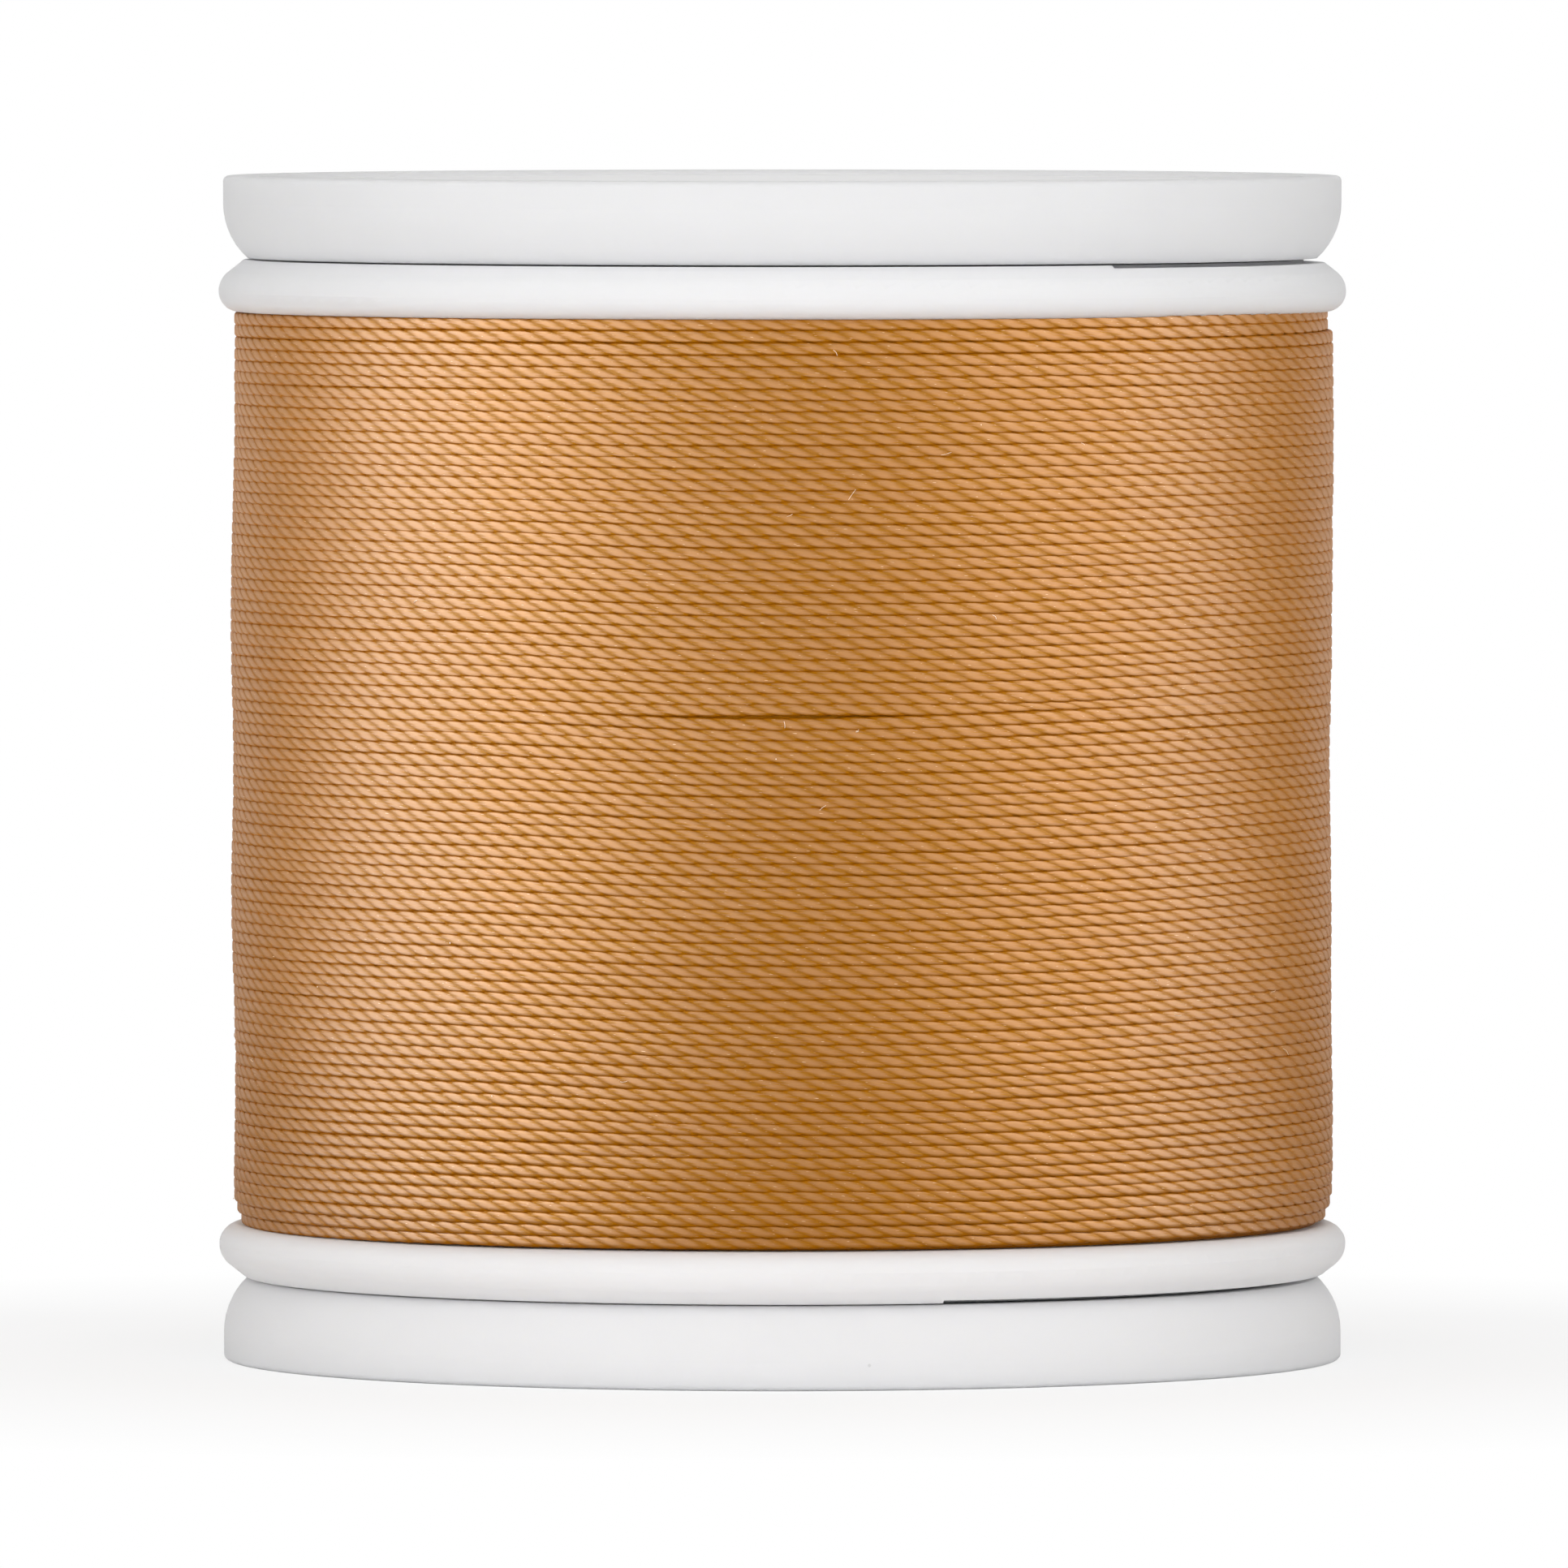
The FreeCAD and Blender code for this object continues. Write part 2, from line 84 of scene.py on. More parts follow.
def hump(value: np.ndarray, rise: Range, fall: Range) -> np.ndarray:
    """Rises smoothly from 0 to 1 over one range, and falls back over another."""
    return smooth_step(value, *rise) * (1.0 - smooth_step(value, *fall))


def bell(value: np.ndarray, middle: float, spread: float) -> np.ndarray:
    """A bell curve of height 1."""
    return np.exp(-(((value - middle) / spread) ** 2))


def counted_from(level: float, span: Range) -> Range:
    """The range that starts and ends so far above a level."""
    return level + span[0], level + span[1]


def lengths_along(points: np.ndarray) -> np.ndarray:
    """How far each point is from the first, by way of the ones between."""
    return np.concatenate([[0.0], np.cumsum(np.linalg.norm(np.diff(points, axis=0), axis=1))])


def places_in(mesh: Mesh) -> np.ndarray:
    """Reads where a mesh's vertices are."""
    places = np.empty(len(mesh.vertices) * 3, np.float32)
    mesh.vertices.foreach_get("co", places)
    return places.reshape(-1, 3)


def opaque(colour: Colour, share: float = 1.0) -> tuple[float, float, float, float]:
    """A shade of a colour, with full cover."""
    return tuple(share * value for value in colour) + (1.0,)


def put_in_scene(name: str, data: bpy.types.ID) -> bpy.types.Object:
    """Makes an object of a mesh, curve, lamp or camera, and links it to the scene."""
    holder = bpy.data.objects.new(name, data)
    bpy.context.scene.collection.objects.link(holder)
    return holder


def finished_mesh(shape: bmesh.types.BMesh, name: str) -> Mesh:
    """Writes a bmesh to a new mesh and frees it."""
    mesh = bpy.data.meshes.new(name)
    shape.to_mesh(mesh)
    shape.free()
    return mesh


def ordered_mesh(shape: bmesh.types.BMesh, name: str) -> Mesh:
    """Writes a bmesh to a new mesh with its faces in a fixed order, and frees it.

    Args:
        shape: The shape. A merged spin leaves its faces in another order on each run.
        name: Name of the mesh.

    Returns:
        The new mesh, the same on each run.
    """
    shape.verts.index_update()
    loops = [[vert.index for vert in face.verts] for face in shape.faces]
    starts = [loop.index(min(loop)) for loop in loops]
    faces = sorted(loop[start:] + loop[:start] for loop, start in zip(loops, starts))
    mesh = bpy.data.meshes.new(name)
    mesh.from_pydata([vert.co[:] for vert in shape.verts], [], faces)
    shape.free()
    return mesh


def write_values(mesh: Mesh, label: str, values: np.ndarray) -> None:
    """Writes one number for each vertex as an attribute."""
    layer = mesh.attributes.new(label, "FLOAT", "POINT")
    layer.data.foreach_set("value", values.reshape(-1).astype(np.float32))


class Wander:
    """Seeded smooth noise along a line, about -1 to 1."""

    def __init__(self, seed: int, spacing: float, length: float) -> None:
        """Draws the knots.

        Args:
            seed: Seed of the random draw.
            spacing: Distance between knots.
            length: Length of the line.
        """
        count = int(length / spacing) + 4
        self.spacing = spacing
        self.knots = np.random.default_rng(seed).normal(0.0, 0.5, count)

    def at(self, place: np.ndarray) -> np.ndarray:
        """Height of the noise at each place on the line."""
        share = np.asarray(place) / self.spacing
        index = np.clip(share.astype(int), 0, len(self.knots) - 2)
        rise = smooth_step(share - index, 0.0, 1.0)
        return self.knots[index] * (1.0 - rise) + self.knots[index + 1] * rise


class Swell:
    """Seeded smooth noise round the winding and along its height, about -1 to 1."""

    def __init__(self, seed: int, waves: int, height_wave: float) -> None:
        """Draws the waves.

        Args:
            seed: Seed of the random draw.
            waves: Number of waves, with 1 to as many crests round the winding.
            height_wave: Shortest wave along the height, in millimetres.
        """
        draw = np.random.default_rng(seed)
        self.crests = 1 + np.arange(waves) % 5
        self.rates = draw.uniform(-1.0, 1.0, waves) * 2.0 * math.pi / height_wave
        self.phases = draw.uniform(0.0, 2.0 * math.pi, waves)
        self.share = 1.4 / math.sqrt(waves)

    def at(self, azimuth: np.ndarray, height: np.ndarray) -> np.ndarray:
        """Height of the noise at each azimuth, in degrees, and height, in millimetres."""
        total = np.zeros_like(np.asarray(azimuth, float))
        for crests, rate, phase in zip(self.crests, self.rates, self.phases):
            total = total + np.cos(np.radians(azimuth) * crests + height * rate + phase)
        return total * self.share


class Board:
    """A node tree with short ways to place nodes and join them."""

    def __init__(self, tree: NodeTree) -> None:
        """Keeps the tree."""
        self.tree = tree

    def place(self, kind: str, **settings: object) -> Node:
        """Adds a node.

        Args:
            kind: The node's type name, without its ShaderNode prefix.
            settings: Properties of the node.

        Returns:
            The new node.
        """
        node = self.tree.nodes.new("ShaderNode" + kind)
        for key, value in settings.items():
            setattr(node, key, value)
        return node

    def feed(self, node: Node, **inputs: object) -> Node:
        """Sets or joins inputs by name, with _ for a space.

        Args:
            node: The node whose inputs are fed.
            inputs: Numbers or colours to set, or sockets to join.

        Returns:
            The same node.
        """
        for key, value in inputs.items():
            self.connect(node.inputs[key.replace("_", " ")], value)
        return node

    def connect(self, socket: NodeSocket, value: object) -> None:
        """Joins a socket to an input, or sets the input to a plain value."""
        if isinstance(value, NodeSocket):
            self.tree.links.new(value, socket)
        else:
            socket.default_value = value

    def result(self, node: Node, *values: object) -> NodeSocket:
        """Sets or joins a node's first inputs in order, and returns its first output.

        Args:
            node: The node whose inputs are fed.
            values: Numbers or colours to set, or sockets to join.

        Returns:
            The output.
        """
        for socket, value in zip(node.inputs, values):
            self.connect(socket, value)
        return node.outputs[0]

    def math(self, operation: str, *values: object) -> NodeSocket:
        """Works out one or two values, each a number or a socket, with a Math node."""
        return self.result(self.place("Math", operation=operation), *values)

    def span(self, value: NodeSocket, source: Range, target: Range = FULL) -> NodeSocket:
        """Maps a value from one range to another, with its ends held."""
        return self.result(self.place("MapRange"), value, *source, *target)

    def blend(self, share: object, first: object, second: object, kind: str = "MIX") -> NodeSocket:
        """Mixes two colours.

        Args:
            share: Number or socket, 0 for the first colour and 1 for the second.
            first: Colour or socket.
            second: Colour or socket.
            kind: How they are mixed.

        Returns:
            The mixed colour.
        """
        node = self.place("Mix", data_type="RGBA", blend_type=kind)
        # A colour mix has its factor and its two colours at these places among its inputs
        for place, value in ((0, share), (6, first), (7, second)):
            self.connect(node.inputs[place], value)
        return node.outputs[2]

    def group(self, tree: NodeTree, **inputs: object) -> Node:
        """Adds a node group with its inputs fed."""
        return self.feed(self.place("Group", node_tree=tree), **inputs)

    def read(self, name: str) -> NodeSocket:
        """Reads one of the mesh's attributes."""
        return self.place("Attribute", attribute_name=name).outputs["Fac"]

    def noise(
        self, vector: NodeSocket, scale: float, detail: float, rough: float = 0.5
    ) -> NodeSocket:
        """Adds a noise pattern, and returns its value."""
        node = self.feed(self.place("TexNoise"), Vector=vector, Scale=scale)
        return self.feed(node, Detail=detail, Roughness=rough).outputs[0]

    def relief(self, height: NodeSocket, depth: float, shader: Node) -> None:
        """Gives a shader fine relief from a height, of a depth in metres."""
        bump = self.feed(self.place("Bump"), Height=height, Distance=depth)
        self.feed(shader, Normal=bump.outputs[0])


def new_material(name: str) -> tuple[Material, Board, Node]:
    """Starts a material.

    Args:
        name: Name of the material.

    Returns:
        The material, a board on its nodes, and its shader.
    """
    material = bpy.data.materials.new(name)
    material.use_nodes = True
    board = Board(material.node_tree)
    return material, board, board.tree.nodes["Principled BSDF"]


def new_group(
    name: str, inputs: dict[str, float], outputs: tuple[str, ...]
) -> tuple[Board, Node, Node]:
    """Starts a shader node group of plain values.

    Args:
        name: Name of the group.
        inputs: Names of its inputs and their usual values.
        outputs: Names of its outputs.

    Returns:
        A board on the group, the node with its inputs and the node with its outputs.
    """
    group = bpy.data.node_groups.new(name, "ShaderNodeTree")
    kind = "NodeSocketFloat"
    for label, value in inputs.items():
        socket = group.interface.new_socket(name=label, in_out="INPUT", socket_type=kind)
        socket.default_value = value
    for label in outputs:
        group.interface.new_socket(name=label, in_out="OUTPUT", socket_type=kind)
    return Board(group), group.nodes.new("NodeGroupInput"), group.nodes.new("NodeGroupOutput")


class SurfaceEffects:
    """Shader node groups that more than one finish uses."""

    grain_rate: float = 9000.0
    wave_rate: float = 160.0
    speck_rate: float = 330.0
    smudge_rate: float = 90.0
    smudge_range: Range = (0.5, 0.72)

    def __init__(self) -> None:
        """Builds each group once."""
        self.moulding = self.moulding_grain()
        self.handling = self.handling_marks()

    def moulding_grain(self) -> NodeTree:
        """Fine grain and slow waviness of a moulded or coated face, as a height."""
        board, inlet, outlet = new_group(
            "moulding_grain", {"Grain": 1.0, "Wave": 1.0}, ("Height", "Tone"))
        place = board.place("TexCoord").outputs["Object"]
        fine = board.noise(place, self.grain_rate, 2.0)
        slow = board.noise(place, self.wave_rate, 3.0)
        grain = board.math("MULTIPLY", fine, inlet.outputs["Grain"])
        wave = board.math("MULTIPLY", slow, inlet.outputs["Wave"])
        board.feed(outlet, Height=board.math("ADD", grain, wave), Tone=slow)
        return board.tree

    def handling_marks(self) -> NodeTree:
        """Sparse specks and faint smudges, as masks from 0 to 1."""
        board, inlet, outlet = new_group(
            "handling_marks", {"Speck size": 0.00012, "Amount": 0.5}, ("Specks", "Smudges"))
        place = board.place("TexCoord").outputs["Object"]
        cells = board.place("TexVoronoi", feature="F1")
        board.feed(cells, Vector=place, Scale=self.speck_rate)
        size = board.math("MULTIPLY", inlet.outputs["Speck size"], self.speck_rate)
        near = board.math("LESS_THAN", cells.outputs["Distance"], size)
        parts = board.feed(board.place("SeparateColor"), Color=cells.outputs["Color"])
        chosen = board.math("LESS_THAN", parts.outputs[0], inlet.outputs["Amount"])
        cloud = board.noise(place, self.smudge_rate, 4.0, 0.6)
        smudges = board.span(cloud, self.smudge_range)
        board.feed(outlet, Specks=board.math("MULTIPLY", near, chosen), Smudges=smudges)
        return board.tree


@dataclass(frozen=True)
class MouldedPlastic:
    """Satin white moulded polypropylene."""

    name: str
    tone: float
    blueness: float = 1.01
    smudge_shade: float = 0.985
    speck_shade: float = 0.86
    speck_amount: float = 0.06
    roughness: Range = (0.66, 0.74)
    gloss: float = 0.03
    grain: float = 0.15
    wave: float = 0.3
    tone_range: Range = (0.3, 0.7)
    grain_depth: float = 0.0000015
    milkiness: float = 1.0
    light_depth: float = 0.0012
    light_spread: Colour = (1.0, 1.0, 0.95)

    def material(self, effects: SurfaceEffects) -> Material:
        """Makes the material.

        Args:
            effects: The shared node groups.

        Returns:
            The new material.
        """
        material, board, shader = new_material(self.name)
        grain = board.group(effects.moulding, Grain=self.grain, Wave=self.wave)
        marks = board.group(effects.handling, Amount=self.speck_amount)
        clean = (self.tone, self.tone, self.blueness * self.tone)
        dull = opaque(clean, self.smudge_shade)
        smudged = board.blend(marks.outputs["Smudges"], opaque(clean), dull)
        marked = board.blend(marks.outputs["Specks"], smudged, opaque(clean, self.speck_shade))
        rough = board.span(grain.outputs["Tone"], self.tone_range, self.roughness)
        board.feed(shader, Base_Color=marked, Roughness=rough, Specular_IOR_Level=self.gloss)
        board.feed(shader, Subsurface_Weight=self.milkiness, Subsurface_Scale=self.light_depth)
        board.feed(shader, Subsurface_Radius=self.light_spread)
        board.relief(grain.outputs["Height"], self.grain_depth, shader)
        return material


@dataclass(frozen=True)
class CoatedPaper:
    """Plain off-white label paper."""

    name: str = "label_paper_plain"
    colour: Colour = (0.80, 0.78, 0.73)
    shade: float = 0.93
    roughness: Range = (0.75, 0.85)
    gloss: float = 0.03
    wave: float = 0.4
    tone_range: Range = (0.35, 0.65)
    grain_depth: float = 0.000004

    def material(self, effects: SurfaceEffects) -> Material:
        """Makes the material.

        Args:
            effects: The shared node groups.

        Returns:
            The new material.
        """
        material, board, shader = new_material(self.name)
        grain = board.group(effects.moulding, Grain=1.0, Wave=self.wave)
        tone = board.span(grain.outputs["Tone"], self.tone_range)
        mottled = board.blend(tone, opaque(self.colour), opaque(self.colour, self.shade))
        rough = board.span(tone, FULL, self.roughness)
        board.feed(shader, Base_Color=mottled, Roughness=rough, Specular_IOR_Level=self.gloss)
        board.relief(grain.outputs["Height"], self.grain_depth, shader)
        return material


@dataclass(frozen=True)
class WaxedThread:
    """Waxed filament thread, seen along its own plies.

    Rates are for each millimetre along the thread, for each radian round it, and how much the
    pattern turns round with each millimetre. Ranges are where a mask rises from 0 to 1.
    """

    name: str = "waxed_thread"
    # The ridge colour carries a painted sheen, and the hollow colour is the painted shade between plies
    ridge: Colour = (0.325, 0.120, 0.008)
    hollow: Colour = (0.300, 0.104, 0.001)
    # Painted shade of the crevices between rows, darker and more saturated, as deep shade is
    crevice_shade: Colour = (0.33, 0.108, 0.0005)
    wisp: Colour = (0.82, 0.56, 0.32)
    # Painted highlight on the fibre streaks that catch the light
    lit_fibre: Colour = (1.12, 1.18, 1.6)
    soaked: Colour = (0.91, 0.86, 0.80)
    fibre_rate: Rate = (0.9, 3.6, 1.5)
    wisp_rate: Rate = (3.2, 6.0, 2.4)
    patch_rate: Rate = (0.06, 0.0, 0.0)
    streak_range: Range = (0.3, 0.7)
    raggedness: float = 0.36
    # How far the crevices' painted shade reaches into the ply hollows at the row's sides
    pocket: float = 0.50
    valley_range: Range = (0.25, 0.75)
    border_range: Range = (0.55, 0.90)
    seam_range: Range = (0.88, 1.0)
    edge_range: Range = (0.86, 1.04)
    lit_range: Range = (0.48, 0.66)
    wisp_range: Range = (0.72, 0.78)
    patch_range: Range = (0.35, 0.65)
    bare_valley: Range = (0.35, 0.85)
    bare_side: Range = (0.70, 1.00)
    glance_range: Range = (0.55, 0.95)
    roughness: Range = (0.53, 0.41)
    gloss: float = 0.10
    wax: float = 1.0
    wax_tint: Colour = (1.0, 0.74, 0.10)
    coat_roughness: float = 0.45
    coat_index: float = 1.35
    relief_depth: float = 0.000008

    def stretched(self, board: Board, rate: Rate) -> NodeSocket:
        """Builds a coordinate that runs with the thread.

        Args:
            board: The material's board.
            rate: Its rate along and round the thread, and how much it turns round on the way.

        Returns:
            The coordinate.
        """
        lengthwise, roundwise, lean = rate
        along = board.read("along")
        run = board.math("MULTIPLY", along, lengthwise)
        level = board.math("MULTIPLY", board.read("around"), roundwise)
        level = board.math("ADD", level, board.math("MULTIPLY", along, lean))
        return board.feed(board.place("CombineXYZ"), X=run, Y=level).outputs[0]

    def film(self, board: Board, ragged: object, aside: object) -> NodeSocket:
        """Builds the wax coat's cover, which leaves the hollows bare.

        Args:
            board: The material's board.
            ragged: Depth between two plies, with a frayed edge.
            aside: How far round from the side that faces out.

        Returns:
            The cover, from 0 to 1.
        """
        between = board.span(ragged, self.bare_valley, (0.0, 0.80))
        bare = board.math("MAXIMUM", between, board.span(aside, self.bare_side))
        film = board.span(bare, FULL, (self.wax, 0.0))
        # Wax smeared over loose fibres gives less sheen at a flat glance than a smooth coat
        glance = board.feed(board.place("LayerWeight"), Blend=0.5).outputs["Facing"]
        return board.math("MULTIPLY", film, board.span(glance, self.glance_range, (1.0, 0.1)))

    def material(self) -> Material:
        """Makes the material.

        Returns:
            The new material.
        """
        material, board, shader = new_material(self.name)
        streak = board.noise(self.stretched(board, self.fibre_rate), 1.0, 2.0, 0.6)
        wisps = board.noise(self.stretched(board, self.wisp_rate), 1.0, 1.0)
        patches = board.noise(self.stretched(board, self.patch_rate), 1.0, 2.0)
        depth = board.read("hollow")
        around = board.read("around")
        fray = board.span(streak, self.streak_range, (-self.raggedness, self.raggedness))
        ragged = board.math("ADD", depth, fray)
        # The crevices' painted shade reaches into the pockets where ply hollows meet the row's sides
        pocket = board.math("MULTIPLY", board.math("POWER", depth, 3.0), self.pocket)
        aside = board.math("ADD", board.math("ABSOLUTE", around), pocket)
        # Painted shade towards each row's sides, where it curves away into the crevice
        side_shade = board.span(aside, self.border_range, (0.0, 0.9))
        valley = board.math("MAXIMUM", board.span(ragged, self.valley_range), side_shade)
        # Painted shade in the crevices between rows and along the deepest ply seams
        seam = board.span(depth, self.seam_range, (0.0, 0.3))
        edge = board.math("MAXIMUM", board.span(aside, self.edge_range), seam)
        # Painted shade in the hollows between plies and towards the row's sides, against the ridges'
        # painted sheen
        base = board.blend(valley, opaque(self.ridge), opaque(self.hollow))
        # Fibre streaks painted paler, as a painted highlight
        lit = board.blend(1.0, base, opaque(self.lit_fibre), "MULTIPLY")
        toned = board.blend(board.span(streak, self.lit_range), base, lit)
        stray = board.span(wisps, self.wisp_range, (0.0, 0.6))
        wisped = board.blend(stray, toned, opaque(self.wisp))
        folded = board.blend(edge, wisped, opaque(self.crevice_shade))
        deep = board.blend(1.0, folded, opaque(self.soaked), "MULTIPLY")
        colour = board.blend(board.span(patches, self.patch_range, (0.0, 0.5)), folded, deep)
        rough = board.span(streak, self.streak_range, self.roughness)
        board.feed(shader, Base_Color=colour, Roughness=rough, Specular_IOR_Level=self.gloss)
        board.feed(shader, Specular_Tint=opaque(self.wax_tint), Coat_IOR=self.coat_index)
        board.feed(shader, Coat_Roughness=self.coat_roughness)
        board.feed(shader, Coat_Weight=self.film(board, ragged, aside))
        ply = board.span(depth, (0.72, 1.0), (0.7, 0.0))
        board.relief(board.math("ADD", streak, ply), self.relief_depth, shader)
        return material


@dataclass(frozen=True)
class Lay:
    """How the thread is laid up: flattened plies twisted round each other."""

    plies: int = 3
    ridge_radius: float = 0.214
    valley: float = 0.06
    pocket: float = 2.0
    flatness: float = 3.0
    spread: float = 1.17
    pressed: float = 0.86
    squareness: float = 0.60
    step: float = 20.0

    def hollow(self, twist: np.ndarray) -> np.ndarray:
        """How far into the hollow between two plies, from 0 on a ridge to 1."""
        sector = TURN / self.plies
        return np.abs((twist + sector / 2.0) % sector - sector / 2.0) / (sector / 2.0)

    def reach(self, twist: np.ndarray, angle: np.ndarray) -> np.ndarray:
        """Distance to the surface, at degrees from a ply's ridge and from the outward side."""
        dip = self.valley * (1.0 + self.pocket * np.sin(np.radians(angle)) ** 2)
        return self.ridge_radius * (1.0 - dip * self.hollow(twist) ** self.flatness)


@dataclass
class ThreadRun:
    """Sections of a stretch of thread, in order along it."""

    middles: np.ndarray
    outwards: np.ndarray
    upwards: np.ndarray
    twist: np.ndarray
    along: np.ndarray
    across: np.ndarray
    widths: np.ndarray
    shades: np.ndarray
    fold_depth: ClassVar[float] = 0.99

    def part(self, first: int, last: int) -> "ThreadRun":
        """The sections from first to last, both kept."""
        kept = slice(first, last + 1)
        return ThreadRun(**{field.name: getattr(self, field.name)[kept] for field in fields(self)})

    def mesh(self, name: str, lay: Lay, angles: np.ndarray) -> Mesh:
        """Skins the sections as a closed twisted tube.

        Args:
            name: Name of the mesh.
            lay: How the thread is laid up.
            angles: Angles round each section, in degrees, the last a whole turn after the first.

        Returns:
            The mesh, with the attributes along, around and hollow and its own UV map.
        """
        sections, corners = len(self.twist), len(angles)
        grid = bmesh.new()
        bmesh.ops.create_grid(grid, x_segments=sections - 1, y_segments=corners - 1, size=0.5)
        mesh = finished_mesh(grid, name)
        turned = self.twist[None, :] + angles[:, None]
        reach = lay.reach(turned, angles[:, None])[..., None]
        slope = np.radians(angles)[:, None, None]
        bulge = 1.0 + lay.squareness * np.sin(slope) ** 2
        spoke = lay.pressed * bulge * np.cos(slope) * self.outwards[None]
        spoke = spoke + lay.spread * np.sin(slope) * self.widths[None, :, None] * self.upwards[None]
        points = (self.middles[None] + reach * spoke) * MM
        mesh.vertices.foreach_set("co", points.reshape(-1).astype(np.float32))
        write_values(mesh, "along", np.broadcast_to(self.along[None, :], turned.shape))
        write_values(mesh, "around", np.broadcast_to(np.radians(angles)[:, None], turned.shape))
        # A section's shade raises its hollow value, so the finish gives it the hollows' painted shade
        write_values(mesh, "hollow", np.maximum(lay.hollow(turned), self.shades[None, :]))
        share = (angles - angles[0]) / (angles[-1] - angles[0])
        rows = self.across[None, :, 1] + share[:, None] * self.across[None, :, 2]
        columns = np.broadcast_to(self.across[None, :, 0], turned.shape)
        flat = np.stack([columns, rows], axis=-1).reshape(-1, 2)
        corner_points = np.empty(len(mesh.loops), np.int32)
        mesh.loops.foreach_get("vertex_index", corner_points)
        baked = mesh.uv_layers.new(name="OFBake")
        baked.uv.foreach_set("vector", flat[corner_points].reshape(-1).astype(np.float32))
        return self.close(mesh, sections, corners)

    def close(self, mesh: Mesh, sections: int, corners: int) -> Mesh:
        """Welds the tube's seam, fills its ends and folds its faces along the plies.

        Args:
            mesh: The skinned sheet.
            sections: Number of sections along it.
            corners: Number of points round each section.

        Returns:
            The same mesh, closed.
        """
        tube = bmesh.new()
        tube.from_mesh(mesh)
        tube.verts.ensure_lookup_table()
        seam = (corners - 1) * sections
        twins = {tube.verts[seam + place]: tube.verts[place] for place in range(sections)}
        bmesh.ops.weld_verts(tube, targetmap=twins)
        rims = [edge for edge in tube.edges if edge.is_boundary]
        for edge in rims:
            edge.smooth = False
        bmesh.ops.holes_fill(tube, edges=rims, sides=0)
        bmesh.ops.triangulate(tube, faces=tube.faces[:], quad_method="ALTERNATE")
        tube.to_mesh(mesh)
        tube.free()
        mesh.polygons.foreach_set("use_smooth", np.ones(len(mesh.polygons), bool))
        edges = np.empty(len(mesh.edges) * 2, np.int32)
        mesh.edges.foreach_get("vertices", edges)
        depth = np.empty(len(mesh.vertices), np.float32)
        mesh.attributes["hollow"].data.foreach_get("value", depth)
        creased = (depth[edges.reshape(-1, 2)] > self.fold_depth).all(axis=1)
        crease = mesh.attributes["sharp_edge"]
        rim = np.empty(len(mesh.edges), bool)
        crease.data.foreach_get("value", rim)
        crease.data.foreach_set("value", creased | rim)
        mesh.update()
        return mesh


def add_piece(mesh: Mesh, material: Material, *nodes: str) -> None:
    """Puts a finished mesh of thread in the scene, as a piece of the wound barrel.

    Args:
        mesh: The mesh, in its place.
        material: Its finish.
        nodes: CAD nodes that it stands for.
    """
    piece = put_in_scene(mesh.name, mesh)
    mesh.materials.clear()
    mesh.materials.append(material)
    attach(piece, WOUND_BARREL)
    if nodes:
        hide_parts(*nodes)
    LOG.info("%s: %d faces", mesh.name, len(mesh.polygons))


@dataclass
class Rows:
    """The outer layer's sections before they are placed, with one value each.

    Azimuths are degrees, and travelled counts them from the layer's start. Widths say how much
    wider than usual the thread is pressed, and shades how much painted shade it gets, from 0 to 1.
    """

    azimuth: np.ndarray
    travelled: np.ndarray
    height: np.ndarray
    radius: np.ndarray
    width: np.ndarray
    shade: np.ndarray


